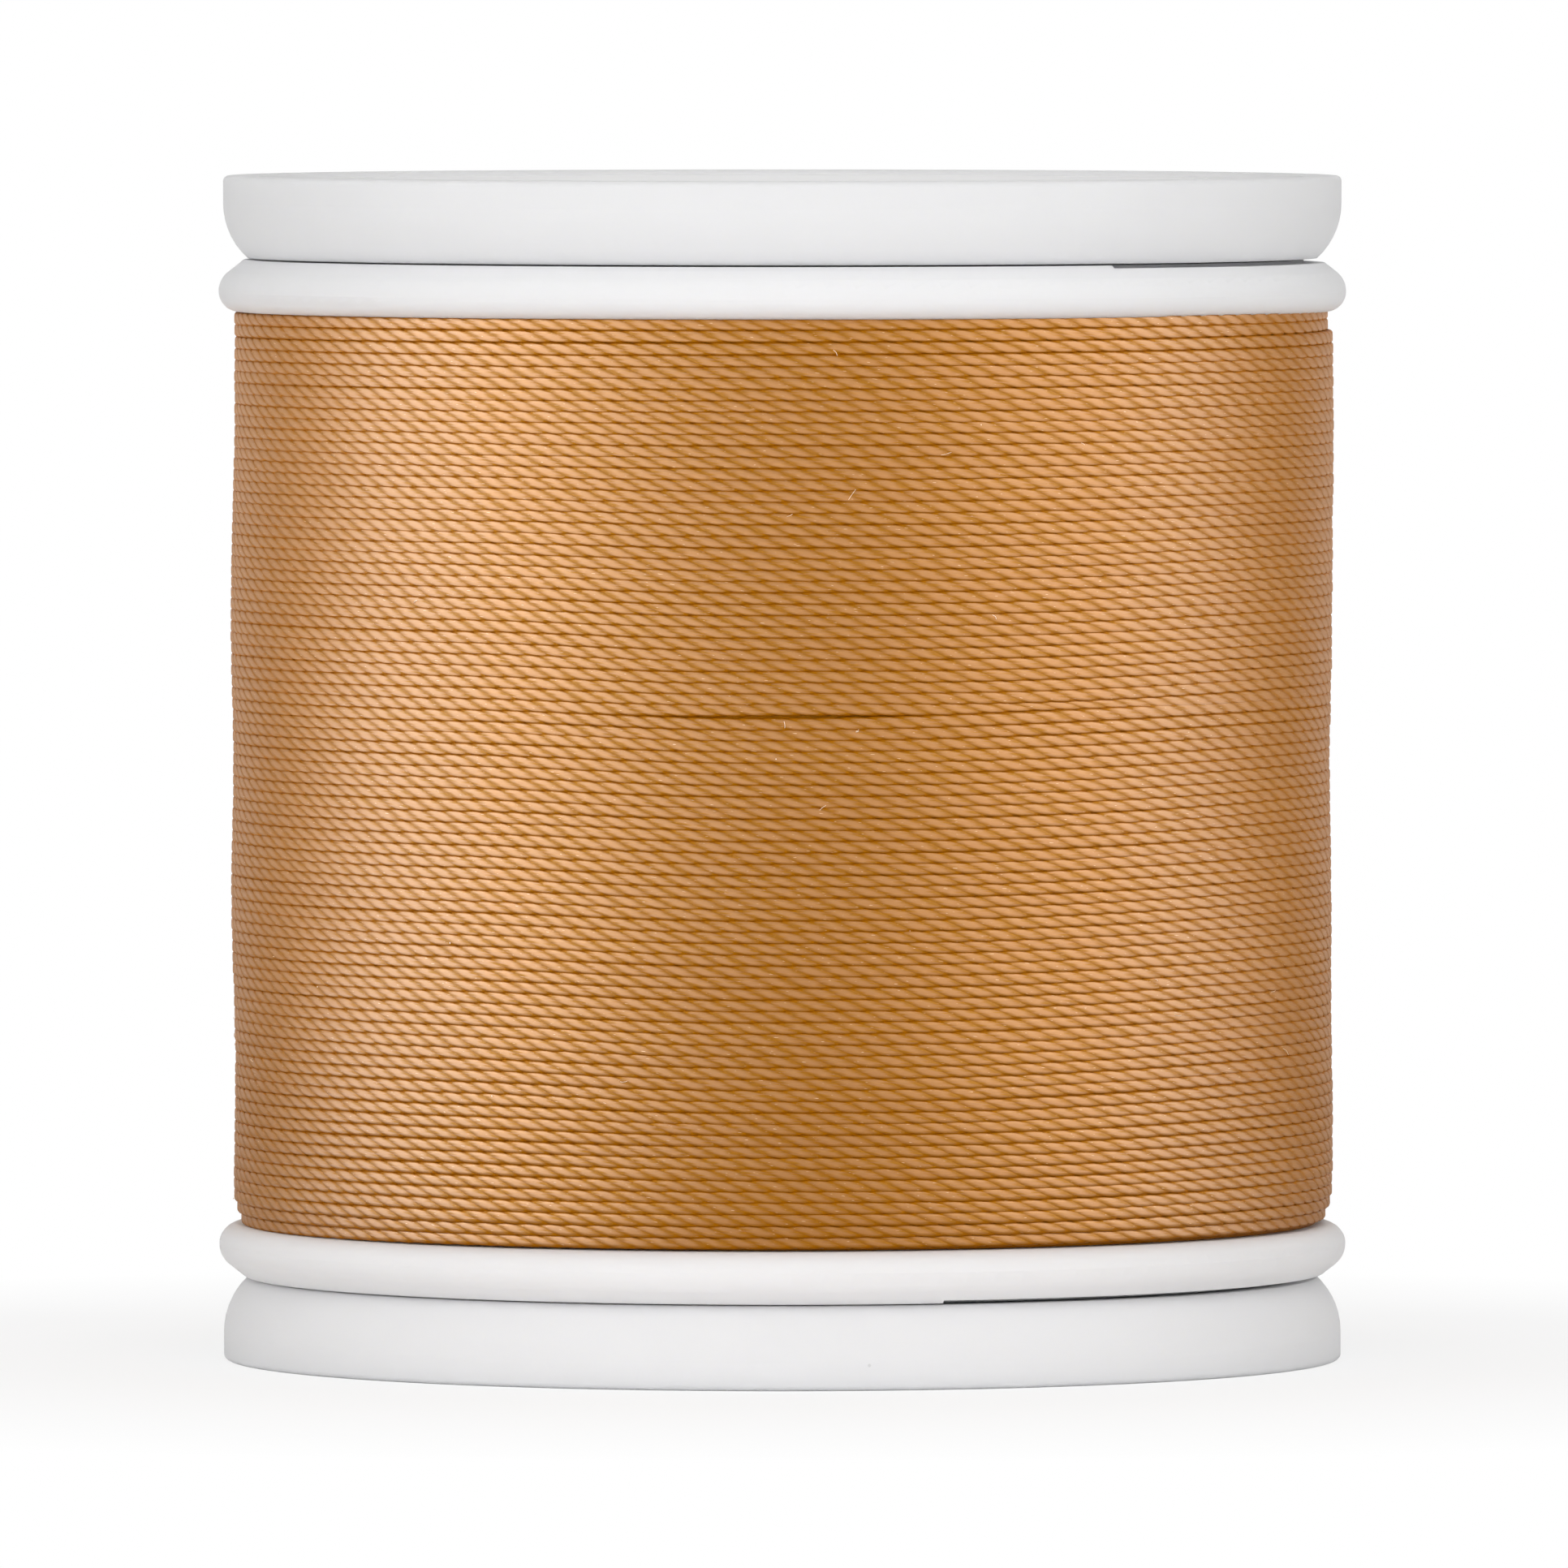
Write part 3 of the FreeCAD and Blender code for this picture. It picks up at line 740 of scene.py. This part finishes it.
@dataclass
class Winding:
    """The wound thread: its outer layer of turns and the layers under it."""

    turns: float = 81.6
    first_height: float = 5.17
    last_height: float = 38.13
    radius: float = 20.05
    start_azimuth: float = 164.0
    bands: int = 8
    mean_strand: float = 0.99
    strand_swing: float = 0.10
    strand_wander: float = 0.05
    strand_knots: float = 70.0
    loosest_azimuth: float = -28.0
    height_wander: float = 0.016
    height_knots: float = 34.0
    radius_wander: float = 0.018
    radius_knots: float = 29.0
    swell: float = 0.045
    swell_waves: int = 9
    swell_length: float = 9.0
    back_azimuth: float = 150.0
    gap_azimuth: float = -88.0
    gap_turn: float = 46.8
    gap_half: float = 0.085
    gap_spread: float = 15.0
    gap_reach: float = 2.5
    slack_sides: Hump = ((-98.0, -46.0), (-44.0, -6.0))
    slack_reach: float = 1.6
    slack_rise: float = 0.09
    slack_width: float = 0.05
    sunk_sides: Hump = ((-76.0, -62.0), (-54.0, -40.0))
    sunk_depth: float = 0.08
    sunk_rise: float = 0.05
    sunk_width: float = 0.22
    sunk_shade: float = 0.30
    front_sides: Hump = ((-124.0, -95.0), (-78.0, -22.0))
    inner_rows: Hump = ((5.0, 11.5), (26.0, 37.0))
    sag: float = 0.20
    last_rise: float = 0.10
    last_turns: float = 4.0
    foot_rows: Range = (-0.1, 0.95)
    foot_depth: float = 0.26
    notch_rows: Range = (-0.75, -0.35)
    notch_azimuth: float = -2.0
    notch_spread: float = 24.0
    notch_depth: float = 0.17
    tuck_depth: float = 0.36
    tuck_angle: float = 9.0
    seam_azimuth: float = 90.0
    tube_radius: float = 11.05
    core_radius: float = 19.85
    core_ends: Range = (-0.17, 0.18)
    core_sides: int = 120
    core_ridge: float = 0.07
    core_foot_rows: Range = (-0.1, 1.2)
    core_foot: float = 0.30
    core_head_rows: Range = (-0.9, 0.0)
    core_head: float = 0.20
    core_shade_depth: float = 0.12
    strand_seed: int = 11
    height_seed: int = 3
    radius_seed: int = 5
    swell_seed: int = 8
    lay: Lay = Lay()

    def run(self) -> ThreadRun:
        """Sections of the whole outer layer, one for each step of twist.

        Returns:
            The run of thread.
        """
        fine = 0.5
        dense = np.arange(0.0, self.turns * TURN, fine)
        azimuth = dense + self.start_azimuth - self.loosest_azimuth
        strand = self.mean_strand + self.strand_swing * np.cos(np.radians(2.0 * azimuth))
        wander = Wander(self.strand_seed, self.strand_knots, dense[-1]).at(dense)
        strand = strand * (1.0 + self.strand_wander * wander)
        arc = math.radians(fine) * (self.radius - self.lay.ridge_radius)
        twist = np.concatenate([[0.0], np.cumsum(TURN / self.lay.plies * arc / strand)])[:-1]
        steps = np.arange(int(twist[-1] / self.lay.step)) * self.lay.step
        travelled = np.interp(steps, twist, dense)
        return self.sections(travelled, steps)

    def sections(self, travelled: np.ndarray, twist: np.ndarray) -> ThreadRun:
        """Places the sections on their helix.

        Args:
            travelled: Degrees travelled round the spool from the layer's start.
            twist: Twist of the thread at each section, in degrees.

        Returns:
            The run of thread.
        """
        azimuth = (travelled + self.start_azimuth + 180.0) % TURN - 180.0
        turn = travelled / TURN
        height = self.first_height + (self.last_height - self.first_height) * turn / self.turns
        radius = np.full_like(height, self.radius - self.lay.pressed * self.lay.ridge_radius)
        plain = np.zeros_like(height)
        rows = Rows(azimuth, travelled, height, radius, plain + 1.0, plain)
        self.unsettle(rows)
        self.lift_aside(rows)
        self.part_rows(rows)
        self.ease_ends(rows)
        angle = np.radians(azimuth)
        outward = np.stack([np.cos(angle), np.sin(angle), plain], axis=1)
        upward = np.tile([0.0, 0.0, 1.0], (len(angle), 1))
        middles = outward * rows.radius[:, None]
        middles[:, 2] = rows.height
        along = lengths_along(middles)
        across = np.stack([turn % 1.0, np.floor(turn), np.ones_like(turn)], axis=1)
        return ThreadRun(middles, outward, upward, twist, along, across, rows.width, rows.shade)

    def unsettle(self, rows: Rows) -> None:
        """Gives the rows their small irregularities of height and depth.

        Args:
            rows: The sections, which are changed.
        """
        travelled = rows.travelled
        up_and_down = Wander(self.height_seed, self.height_knots, travelled[-1])
        in_and_out = Wander(self.radius_seed, self.radius_knots, travelled[-1])
        swell = Swell(self.swell_seed, self.swell_waves, self.swell_length)
        rows.height += self.height_wander * up_and_down.at(travelled)
        rows.radius += self.radius_wander * in_and_out.at(travelled)
        rows.radius += self.swell * swell.at(rows.azimuth, rows.height)

    def lift_aside(self, rows: Rows) -> None:
        """Lifts the rows all round but in front, where they sag, and the last ones to the flange.

        Args:
            rows: The sections, which are changed.
        """
        front = hump(rows.azimuth, *self.front_sides)
        rows.height += self.sag * (1.0 - front) * hump(rows.height, *self.inner_rows)
        last = smooth_step(rows.travelled / TURN, self.turns - self.last_turns, self.turns)
        rows.height += self.last_rise * last

    def part_rows(self, rows: Rows) -> None:
        """Parts two turns near the middle, where one row sinks between its neighbours.

        Args:
            rows: The sections, which are changed.
        """
        # The step from one turn to the next is taken at the back, so each row is whole in front
        azimuth, back = rows.azimuth, self.back_azimuth
        row = rows.travelled / TURN - ((azimuth - back) % TURN) / TURN
        above = row - (self.gap_turn - ((self.gap_azimuth - back) % TURN) / TURN)
        spread = bell(azimuth, self.gap_azimuth, self.gap_spread)
        fade = np.exp(-np.abs(above) / self.gap_reach)
        rows.height += np.sign(above) * self.gap_half * spread * fade
        rise = hump(azimuth, *self.slack_sides)
        near = np.exp(np.minimum(above + 0.5, 0.0) / self.slack_reach)
        slack = np.where(above < 0.0, near, 0.0)
        sink = hump(azimuth, *self.sunk_sides)
        sunk = np.where((above > 0.0) & (above < 1.0), sink, 0.0)
        rows.height += self.slack_rise * slack * rise
        rows.height += self.sunk_rise * sunk
        rows.radius -= self.sunk_depth * sunk
        rows.width = 1.0 + self.slack_width * slack * rise - self.sunk_width * sunk
        # The sunk row gets painted shade, as it lies recessed in shadow between its neighbours
        rows.shade = self.sunk_shade * sunk

    def ease_ends(self, rows: Rows) -> None:
        """Sets the rows beside the flanges back, and tucks both ends of the layer in.

        Args:
            rows: The sections, which are changed.
        """
        foot_rows = counted_from(self.first_height, self.foot_rows)
        rows.radius -= self.foot_depth * (1.0 - smooth_step(rows.height, *foot_rows))
        notch = smooth_step(rows.height, *counted_from(self.last_height, self.notch_rows))
        side = bell(rows.azimuth, self.notch_azimuth, self.notch_spread)
        rows.radius -= self.notch_depth * notch * side
        travelled = rows.travelled
        start = 1.0 - smooth_step(travelled, 0.0, self.tuck_angle)
        end = smooth_step(travelled, travelled[-1] - self.tuck_angle, travelled[-1])
        rows.radius -= self.tuck_depth * (start + end)

    def core(self) -> Mesh:
        """Makes the layers under the outer one as a ring with a ridge for each turn.

        Returns:
            The core's mesh, with the attributes that the thread's finish reads.
        """
        ring = bmesh.new()
        low, high = self.first_height + self.core_ends[0], self.last_height + self.core_ends[1]
        inner, outer = (
            [ring.verts.new(Vector((radius, 0.0, height)) * MM) for height in (low, high)]
            for radius in (self.tube_radius, self.core_radius))
        wall = ring.edges.new(outer)
        for pair in ((inner[0], inner[1]), (inner[0], outer[0]), (inner[1], outer[1])):
            ring.edges.new(pair)
        bmesh.ops.subdivide_edges(ring, edges=[wall], cuts=2 * int(self.turns))
        grooves = sorted((vert for vert in ring.verts if vert not in inner), key=lambda vert: vert.co.z)
        foot_rows = counted_from(self.first_height, self.core_foot_rows)
        head_rows = counted_from(self.last_height, self.core_head_rows)
        for number, vert in enumerate(grooves):
            height = vert.co.z / MM
            foot = 1.0 - smooth_step(height, *foot_rows)
            head = smooth_step(height, *head_rows)
            ridge = self.core_ridge * (number % 2)
            vert.co.x -= (ridge + self.core_foot * foot + self.core_head * head) * MM
        bmesh.ops.spin(
            ring, geom=ring.verts[:] + ring.edges[:], angle=2.0 * math.pi,
            steps=self.core_sides, use_merge=True, **SPOOL_AXIS)
        bmesh.ops.recalc_face_normals(ring, faces=ring.faces)
        mesh = ordered_mesh(ring, "winding_core")
        mesh.shade_smooth()
        places = places_in(mesh) / MM
        reach = np.hypot(places[:, 0], places[:, 1])
        write_values(mesh, "along", np.abs(np.arctan2(places[:, 1], places[:, 0])) * self.core_radius)
        # Heights stand in for the angle round, so the finish gives the whole core the crevices' painted
        # shade
        write_values(mesh, "around", places[:, 2])
        depth = (self.core_radius - reach) / self.core_shade_depth
        write_values(mesh, "hollow", np.clip(depth, 0.5, 1.0))
        return mesh

    def build(self, material: Material) -> None:
        """Makes the core and the bands of turns, which meet at the back.

        Args:
            material: The thread's finish.
        """
        add_piece(self.core(), material, "thread_inner_layers")
        run = self.run()
        # Sides that face out are fine, and the one against the core is a single face
        angles = np.append(np.arange(-100.0, 101.0, 20.0), 260.0)
        travelled = run.across[:, :2].sum(axis=1) * TURN
        even = np.linspace(0.0, self.turns * TURN, self.bands + 1)
        seam = self.start_azimuth - self.seam_azimuth
        cuts = np.searchsorted(travelled, np.round((even + seam) / TURN) * TURN - seam)
        cuts[0], cuts[-1] = 0, len(travelled) - 1
        for number, (first, last) in enumerate(zip(cuts[:-1], cuts[1:]), start=1):
            mesh = run.part(first, last).mesh("winding_band_%d" % number, self.lay, angles)
            add_piece(mesh, material, "thread_outer_layer")


def point_at(azimuth: float, radius: float, height: float) -> Vector:
    """The point in metres at an azimuth in degrees, and a radius and a height in millimetres."""
    angle = math.radians(azimuth)
    return Vector((radius * math.cos(angle), radius * math.sin(angle), height)) * MM


def add_route(curve: Curve, points: list[Vector]) -> None:
    """Adds a smooth line to a curve.

    Args:
        curve: The curve.
        points: The line's control points.
    """
    spline = curve.splines.new("NURBS")
    spline.points.add(len(points) - 1)
    for knot, point in zip(spline.points, points):
        knot.co = (*point, 1.0)
    spline.order_u = 3
    spline.use_endpoint_u = True


def mesh_from(curve: Curve) -> Mesh:
    """Makes a mesh of a curve, and removes the curve.

    Args:
        curve: The curve.

    Returns:
        The new mesh.
    """
    holder = put_in_scene(curve.name, curve)
    mesh = bpy.data.meshes.new_from_object(holder)
    bpy.data.objects.remove(holder)
    bpy.data.curves.remove(curve)
    return mesh


def read_line(points: list[Vector], name: str) -> np.ndarray:
    """Reads points from a smooth line through a route.

    Args:
        points: The route's control points.
        name: Name for the line while it is read.

    Returns:
        Points along the line, in order.
    """
    curve = bpy.data.curves.new(name, "CURVE")
    curve.dimensions = "3D"
    curve.resolution_u = 16
    add_route(curve, points)
    line = mesh_from(curve)
    places = places_in(line).astype(float)
    bpy.data.meshes.remove(line)
    return places


@dataclass
class FreeEnd:
    """The thread's end: out from under the last turns, over the flange and into the groove."""

    azimuth: float = 30.0
    on_winding: float = 20.37
    past_nose: float = 20.98
    held_radius: float = 19.94
    held_height: float = 40.25
    flange_low: float = 38.25
    nose_level: float = 38.98
    strand: float = 1.0
    lay: Lay = Lay(
        ridge_radius=0.20, valley=0.18, pocket=0.0, spread=1.0, pressed=1.0, squareness=0.0)

    def route(self) -> list[Vector]:
        """The route's points; the first two lie between the turns that hold the end down."""
        places = (
            (-15.0, self.on_winding - 0.62, self.flange_low - 1.25),
            (-6.0, self.on_winding - 0.38, self.flange_low - 1.20),
            (0.0, self.on_winding, self.flange_low - 1.1),
            (9.0, self.on_winding + 0.07, self.flange_low - 0.75),
            (16.0, self.past_nose, self.nose_level - 0.55),
            (20.5, self.past_nose, self.nose_level + 0.45),
            (25.0, self.held_radius, self.held_height),
            (29.5, self.held_radius, self.held_height),
            (34.0, self.held_radius, self.held_height),
        )
        return [point_at(self.azimuth + turn, radius, height) for turn, radius, height in places]

    def build(self, material: Material) -> None:
        """Makes the twisted end.

        Args:
            material: The thread's finish.
        """
        line = read_line(self.route(), "free_end_line") / MM
        lengths = lengths_along(line)
        spacing = self.strand * self.lay.step * self.lay.plies / TURN
        along = np.arange(0.0, lengths[-1], spacing)
        middles = np.stack([np.interp(along, lengths, line[:, axis]) for axis in range(3)], axis=1)
        ahead = np.gradient(middles, axis=0)
        ahead = ahead / np.linalg.norm(ahead, axis=1)[:, None]
        outward = middles * (1.0, 1.0, 0.0)
        outward = outward - (outward * ahead).sum(axis=1)[:, None] * ahead
        outward = outward / np.linalg.norm(outward, axis=1)[:, None]
        upward = np.cross(outward, ahead)
        twist = np.arange(len(along)) * self.lay.step
        across = np.stack([along / lengths[-1], np.zeros_like(along), np.ones_like(along)], axis=1)
        plain = np.zeros_like(along)
        run = ThreadRun(middles, outward, upward, twist, along, across, plain + 1.0, plain)
        mesh = run.mesh("free_end", self.lay, np.arange(-180.0, 181.0, 20.0))
        add_piece(mesh, material, "thread_tail")


@dataclass(frozen=True)
class DryWax:
    """Pale dry wax on stray fibres and flakes."""

    name: str = "dry_wax"
    colour: Colour = (0.80, 0.62, 0.42)
    warmth: Colour = (0.92, 0.78, 0.62)
    roughness: Range = (0.40, 0.55)
    tone_range: Range = (0.4, 0.6)

    def material(self, effects: SurfaceEffects) -> Material:
        """Makes the material.

        Args:
            effects: The shared node groups.

        Returns:
            The new material.
        """
        material, board, shader = new_material(self.name)
        grain = board.group(effects.moulding, Grain=0.5, Wave=1.0)
        warm = tuple(share * value for share, value in zip(self.warmth, self.colour))
        tone = board.span(grain.outputs["Tone"], self.tone_range)
        mottled = board.blend(tone, opaque(self.colour), opaque(warm))
        board.feed(shader, Base_Color=mottled, Roughness=board.span(tone, FULL, self.roughness))
        return material


@dataclass
class StrayFibres:
    """Fine fibres that stand off the winding, and flakes of dry wax caught on it."""

    fibres: int = 44
    flakes: int = 16
    seed: int = 21
    surface: float = 20.03
    low: float = 5.6
    high: float = 37.6
    half_width: float = 0.011
    lengths: Range = (0.12, 0.42)
    slopes: float = 35.0
    bend: float = 0.5
    foot: float = -0.03
    stand: Range = (0.03, 0.10)
    tip: Range = (0.0, 1.2)
    flake_radii: Range = (0.016, 0.034)
    flake_heights: Range = (0.6, 1.1)
    flatness: float = 0.4

    def marked_fibres(self) -> list[tuple[float, float, float, float]]:
        """Fibres seen in the photograph: azimuth, height, length and slope in degrees."""
        return [
            (-89.75, 23.69, 0.25, 80.0),
            (-83.3, 31.80, 0.50, 62.0),
            (-84.8, 37.20, 0.26, -30.0),
            (-89.6, 31.24, 0.24, 12.0),
            (-82.5, 23.52, 0.16, 42.0),
        ]

    def marked_flakes(self) -> list[tuple[float, float, float]]:
        """Flakes seen in the photograph: azimuth, height and radius."""
        return [(-55.3, 18.19, 0.055), (-82.35, 23.57, 0.050)]

    def route(self, place: tuple[float, ...], draw: np.random.Generator) -> list[Vector]:
        """Bends one fibre off the surface.

        Args:
            place: Its azimuth, height, length and slope.
            draw: Source of its small differences.

        Returns:
            Its four control points.
        """
        azimuth, height, length, slope = place
        bend = draw.uniform(-self.bend, self.bend)
        stand = draw.uniform(*self.stand)
        tip = stand * draw.uniform(*self.tip)
        points = []
        for share, lift in ((0.0, self.foot), (0.35, stand), (0.7, stand), (1.0, tip)):
            angle = math.radians(slope) + bend * share
            aside = math.degrees(share * length * math.cos(angle) / self.surface)
            level = height + share * length * math.sin(angle)
            points.append(point_at(azimuth + aside, self.surface + lift, level))
        return points

    def lines(self, draw: np.random.Generator) -> Mesh:
        """Makes the fibres.

        Args:
            draw: Source of their places.

        Returns:
            One mesh with all of them.
        """
        curve = bpy.data.curves.new("stray_fibres", "CURVE")
        curve.dimensions = "3D"
        curve.resolution_u = 4
        curve.bevel_depth = self.half_width * MM
        curve.bevel_resolution = 0
        curve.use_fill_caps = True
        places = self.marked_fibres()
        for _ in range(self.fibres):
            azimuth, height = draw.uniform(-180.0, 180.0), draw.uniform(self.low, self.high)
            places.append((azimuth, height, draw.uniform(*self.lengths), draw.normal(0.0, self.slopes)))
        for place in places:
            add_route(curve, self.route(place, draw))
        return mesh_from(curve)

    def build(self, material: Material) -> None:
        """Makes the fibres and the flakes as one piece.

        Args:
            material: Their finish.
        """
        draw = np.random.default_rng(self.seed)
        mesh = self.lines(draw)
        bits = bmesh.new()
        bits.from_mesh(mesh)
        places = self.marked_flakes()
        for _ in range(self.flakes):
            azimuth, height = draw.uniform(-180.0, 180.0), draw.uniform(self.low, self.high)
            places.append((azimuth, height, draw.uniform(*self.flake_radii)))
        for azimuth, height, radius in places:
            turned = Matrix.Rotation(math.radians(azimuth), 4, "Z")
            flat = Matrix.Diagonal((self.flatness, 1.0, draw.uniform(*self.flake_heights), 1.0))
            place = Matrix.Translation(point_at(azimuth, self.surface + 0.3 * radius, height))
            bmesh.ops.create_icosphere(
                bits, subdivisions=1, radius=radius * MM, matrix=place @ turned @ flat)
        bits.to_mesh(mesh)
        bits.free()
        mesh.name = "stray_fibres"
        add_piece(mesh, material)


@dataclass
class SoftBox:
    """A rectangular studio light that faces the spool, or lies face up on the floor.

    Distances are in metres. Azimuth 0 is the camera's side, and 90 is the spool's right.
    """

    name: str
    azimuth: float
    elevation: float
    distance: float
    width: float
    height: float
    radiance: float
    diffuse: bool = True
    gloss: bool = True
    lying: bool = False
    aim: float = 0.0216
    off_floor: float = 0.001

    def build(self) -> None:
        """Makes the lamp."""
        lamp = bpy.data.lights.new(self.name, "AREA")
        lamp.shape = "RECTANGLE"
        lamp.size = self.width
        lamp.size_y = self.height
        lamp.energy = self.radiance * math.pi * self.width * self.height
        around, up = math.radians(self.azimuth), math.radians(self.elevation)
        level = math.cos(up)
        away = Vector((math.sin(around) * level, -math.cos(around) * level, math.sin(up)))
        light = put_in_scene(self.name, lamp)
        light.location = Vector((0.0, 0.0, self.aim)) + away * self.distance
        light.rotation_euler = away.to_track_quat("Z", "Y").to_euler()
        if self.lying:
            light.location.z = self.off_floor
            light.rotation_euler = (math.pi, 0.0, around)
        light.visible_camera = False
        light.visible_diffuse = self.diffuse
        light.visible_glossy = self.gloss


@dataclass
class DarkCard:
    """A curved black card beside the spool, on the floor and up, to darken its sides.

    It shows only in reflections. Azimuths and distances are as the lamps'.
    """

    name: str
    first_azimuth: float
    last_azimuth: float
    near: float = 0.035
    far: float = 0.32
    foot: float = 0.002
    height: float = 0.80
    steps: int = 12
    tone: Colour = (0.02, 0.02, 0.02)

    def build(self) -> None:
        """Makes the card."""
        sheet = bmesh.new()
        turned = Matrix.Rotation(math.radians(self.first_azimuth - 90.0), 4, "Z")
        profile = ((self.near, self.foot), (self.far, self.foot), (self.far, self.height))
        corners = [sheet.verts.new(turned @ Vector((out, 0.0, up))) for out, up in profile]
        for pair in zip(corners[:-1], corners[1:]):
            sheet.edges.new(pair)
        sweep = math.radians(self.last_azimuth - self.first_azimuth)
        bmesh.ops.spin(
            sheet, geom=sheet.verts[:] + sheet.edges[:], angle=sweep, steps=self.steps, **SPOOL_AXIS)
        mesh = finished_mesh(sheet, self.name)
        card = put_in_scene(self.name, mesh)
        material, board, shader = new_material(self.name)
        board.feed(shader, Base_Color=opaque(self.tone), Specular_IOR_Level=0.0)
        mesh.materials.append(material)
        for kind in ("camera", "diffuse", "shadow", "transmission"):
            setattr(card, "visible_" + kind, False)


@dataclass
class Studio:
    """Floor, lights and camera."""

    axis_distance: float = 889.6
    eye_height: float = 52.96
    eye_aside: float = 0.06
    pitch: float = 2.0588
    lens: float = 559.65
    sensor: float = 36.0
    surroundings: float = 0.46
    floor_radius: float = 0.9
    floor_tone: Colour = (0.85, 0.85, 0.85)
    floor_roughness: float = 0.7
    floor_gloss: float = 0.1
    shadow_range: Range = (0.021, 0.060)
    near_white: float = 0.75
    lights: tuple[SoftBox, ...] = (
        SoftBox("left_sheen", -65.0, 5.0, 0.55, 0.66, 1.40, 15.0, diffuse=False),
        SoftBox("right_sheen", 68.0, 5.0, 0.55, 0.66, 1.40, 11.2, diffuse=False),
        SoftBox("left_table", -65.0, 0.0, 0.29, 0.66, 0.50, 8.6, diffuse=False, lying=True),
        SoftBox("right_table", 68.0, 0.0, 0.29, 0.66, 0.50, 6.0, diffuse=False, lying=True),
        SoftBox("front_fill", 0.0, 24.0, 0.80, 0.80, 0.60, 2.20, gloss=False),
    )
    cards: tuple[DarkCard, ...] = (
        DarkCard("left_card", -140.0, -100.0),
        DarkCard("right_card", 103.0, 142.0),
    )

    def build(self) -> None:
        """Makes the whole studio."""
        for item in self.lights + self.cards:
            item.build()
        self.build_floor()
        self.build_surroundings()
        self.build_camera()
        bpy.context.scene.view_settings.view_transform = "Standard"

    def build_camera(self) -> None:
        """Makes the camera at the photograph's place."""
        camera = bpy.data.cameras.new("camera")
        camera.lens = self.lens
        camera.sensor_width = self.sensor
        eye = put_in_scene("camera", camera)
        eye.location = Vector((self.eye_aside, -self.axis_distance, self.eye_height)) * MM
        eye.rotation_euler = (math.radians(90.0 - self.pitch), 0.0, 0.0)
        bpy.context.scene.camera = eye

    def seen_rays(self, board: Board) -> NodeSocket:
        """Builds a mask that is 1 for camera, glossy and transmission rays."""
        ray = board.place("LightPath")
        straight = board.math("ADD", ray.outputs["Is Camera Ray"], ray.outputs["Is Glossy Ray"])
        every = board.math("ADD", straight, ray.outputs["Is Transmission Ray"])
        return board.math("MINIMUM", every, 1.0)

    def build_surroundings(self) -> None:
        """Lights the room a little, and shows it white to the camera."""
        world = bpy.data.worlds.new("pale_room")
        world.use_nodes = True
        bpy.context.scene.world = world
        board = Board(world.node_tree)
        strength = board.span(self.seen_rays(board), FULL, (self.surroundings, 1.0))
        white = (1.0, 1.0, 1.0, 1.0)
        board.feed(board.tree.nodes["Background"], Color=white, Strength=strength)

    def build_floor(self) -> None:
        """Makes the pale floor, which keeps the spool's shadow and is white away from it."""
        sheet = bmesh.new()
        bmesh.ops.create_circle(sheet, cap_ends=True, segments=96, radius=self.floor_radius)
        mesh = finished_mesh(sheet, "floor")
        put_in_scene("floor", mesh)
        material, board, shader = new_material("pale_floor")
        mesh.materials.append(material)
        board.feed(shader, Base_Color=opaque(self.floor_tone), Roughness=self.floor_roughness)
        board.feed(shader, Specular_IOR_Level=self.floor_gloss)
        white = board.feed(board.place("Emission"), Strength=1.0)
        place = board.place("TexCoord").outputs["Object"]
        length = board.feed(board.place("VectorMath", operation="LENGTH"), Vector=place)
        away = board.span(length.outputs["Value"], self.shadow_range, (self.near_white, 1.0))
        share = board.math("MULTIPLY", away, self.seen_rays(board))
        mix = board.result(board.place("MixShader"), share, shader.outputs[0], white.outputs[0])
        board.feed(board.tree.nodes["Material Output"], Surface=mix)


def dress_moulded_parts(effects: SurfaceEffects) -> None:
    """Gives the CAD barrel, caps and labels their finishes.

    Args:
        effects: The shared node groups.
    """
    finishes = {
        Slot.BARREL: MouldedPlastic("barrel_white", 0.87).material(effects),
        Slot.CAP: MouldedPlastic("cap_white", 0.84).material(effects),
        Slot.LABEL: CoatedPaper().material(effects),
    }
    for part in FRAME["record"]["subparts"]:
        finish = finishes.get(Slot(part["material_slot"]))
        if finish:
            for place in FRAME["nodes"][part["node"]].material_slots:
                place.material = finish
            LOG.info("%s: %s", part["node"], finish.name)


def main() -> None:
    """Builds the spool and its studio."""
    logging.basicConfig(level=logging.INFO, format="%(name)s %(message)s")
    effects = SurfaceEffects()
    dress_moulded_parts(effects)
    thread = WaxedThread().material()
    Winding().build(thread)
    FreeEnd().build(thread)
    StrayFibres().build(DryWax().material(effects))
    Studio().build()


if __name__ == "__main__":
    main()
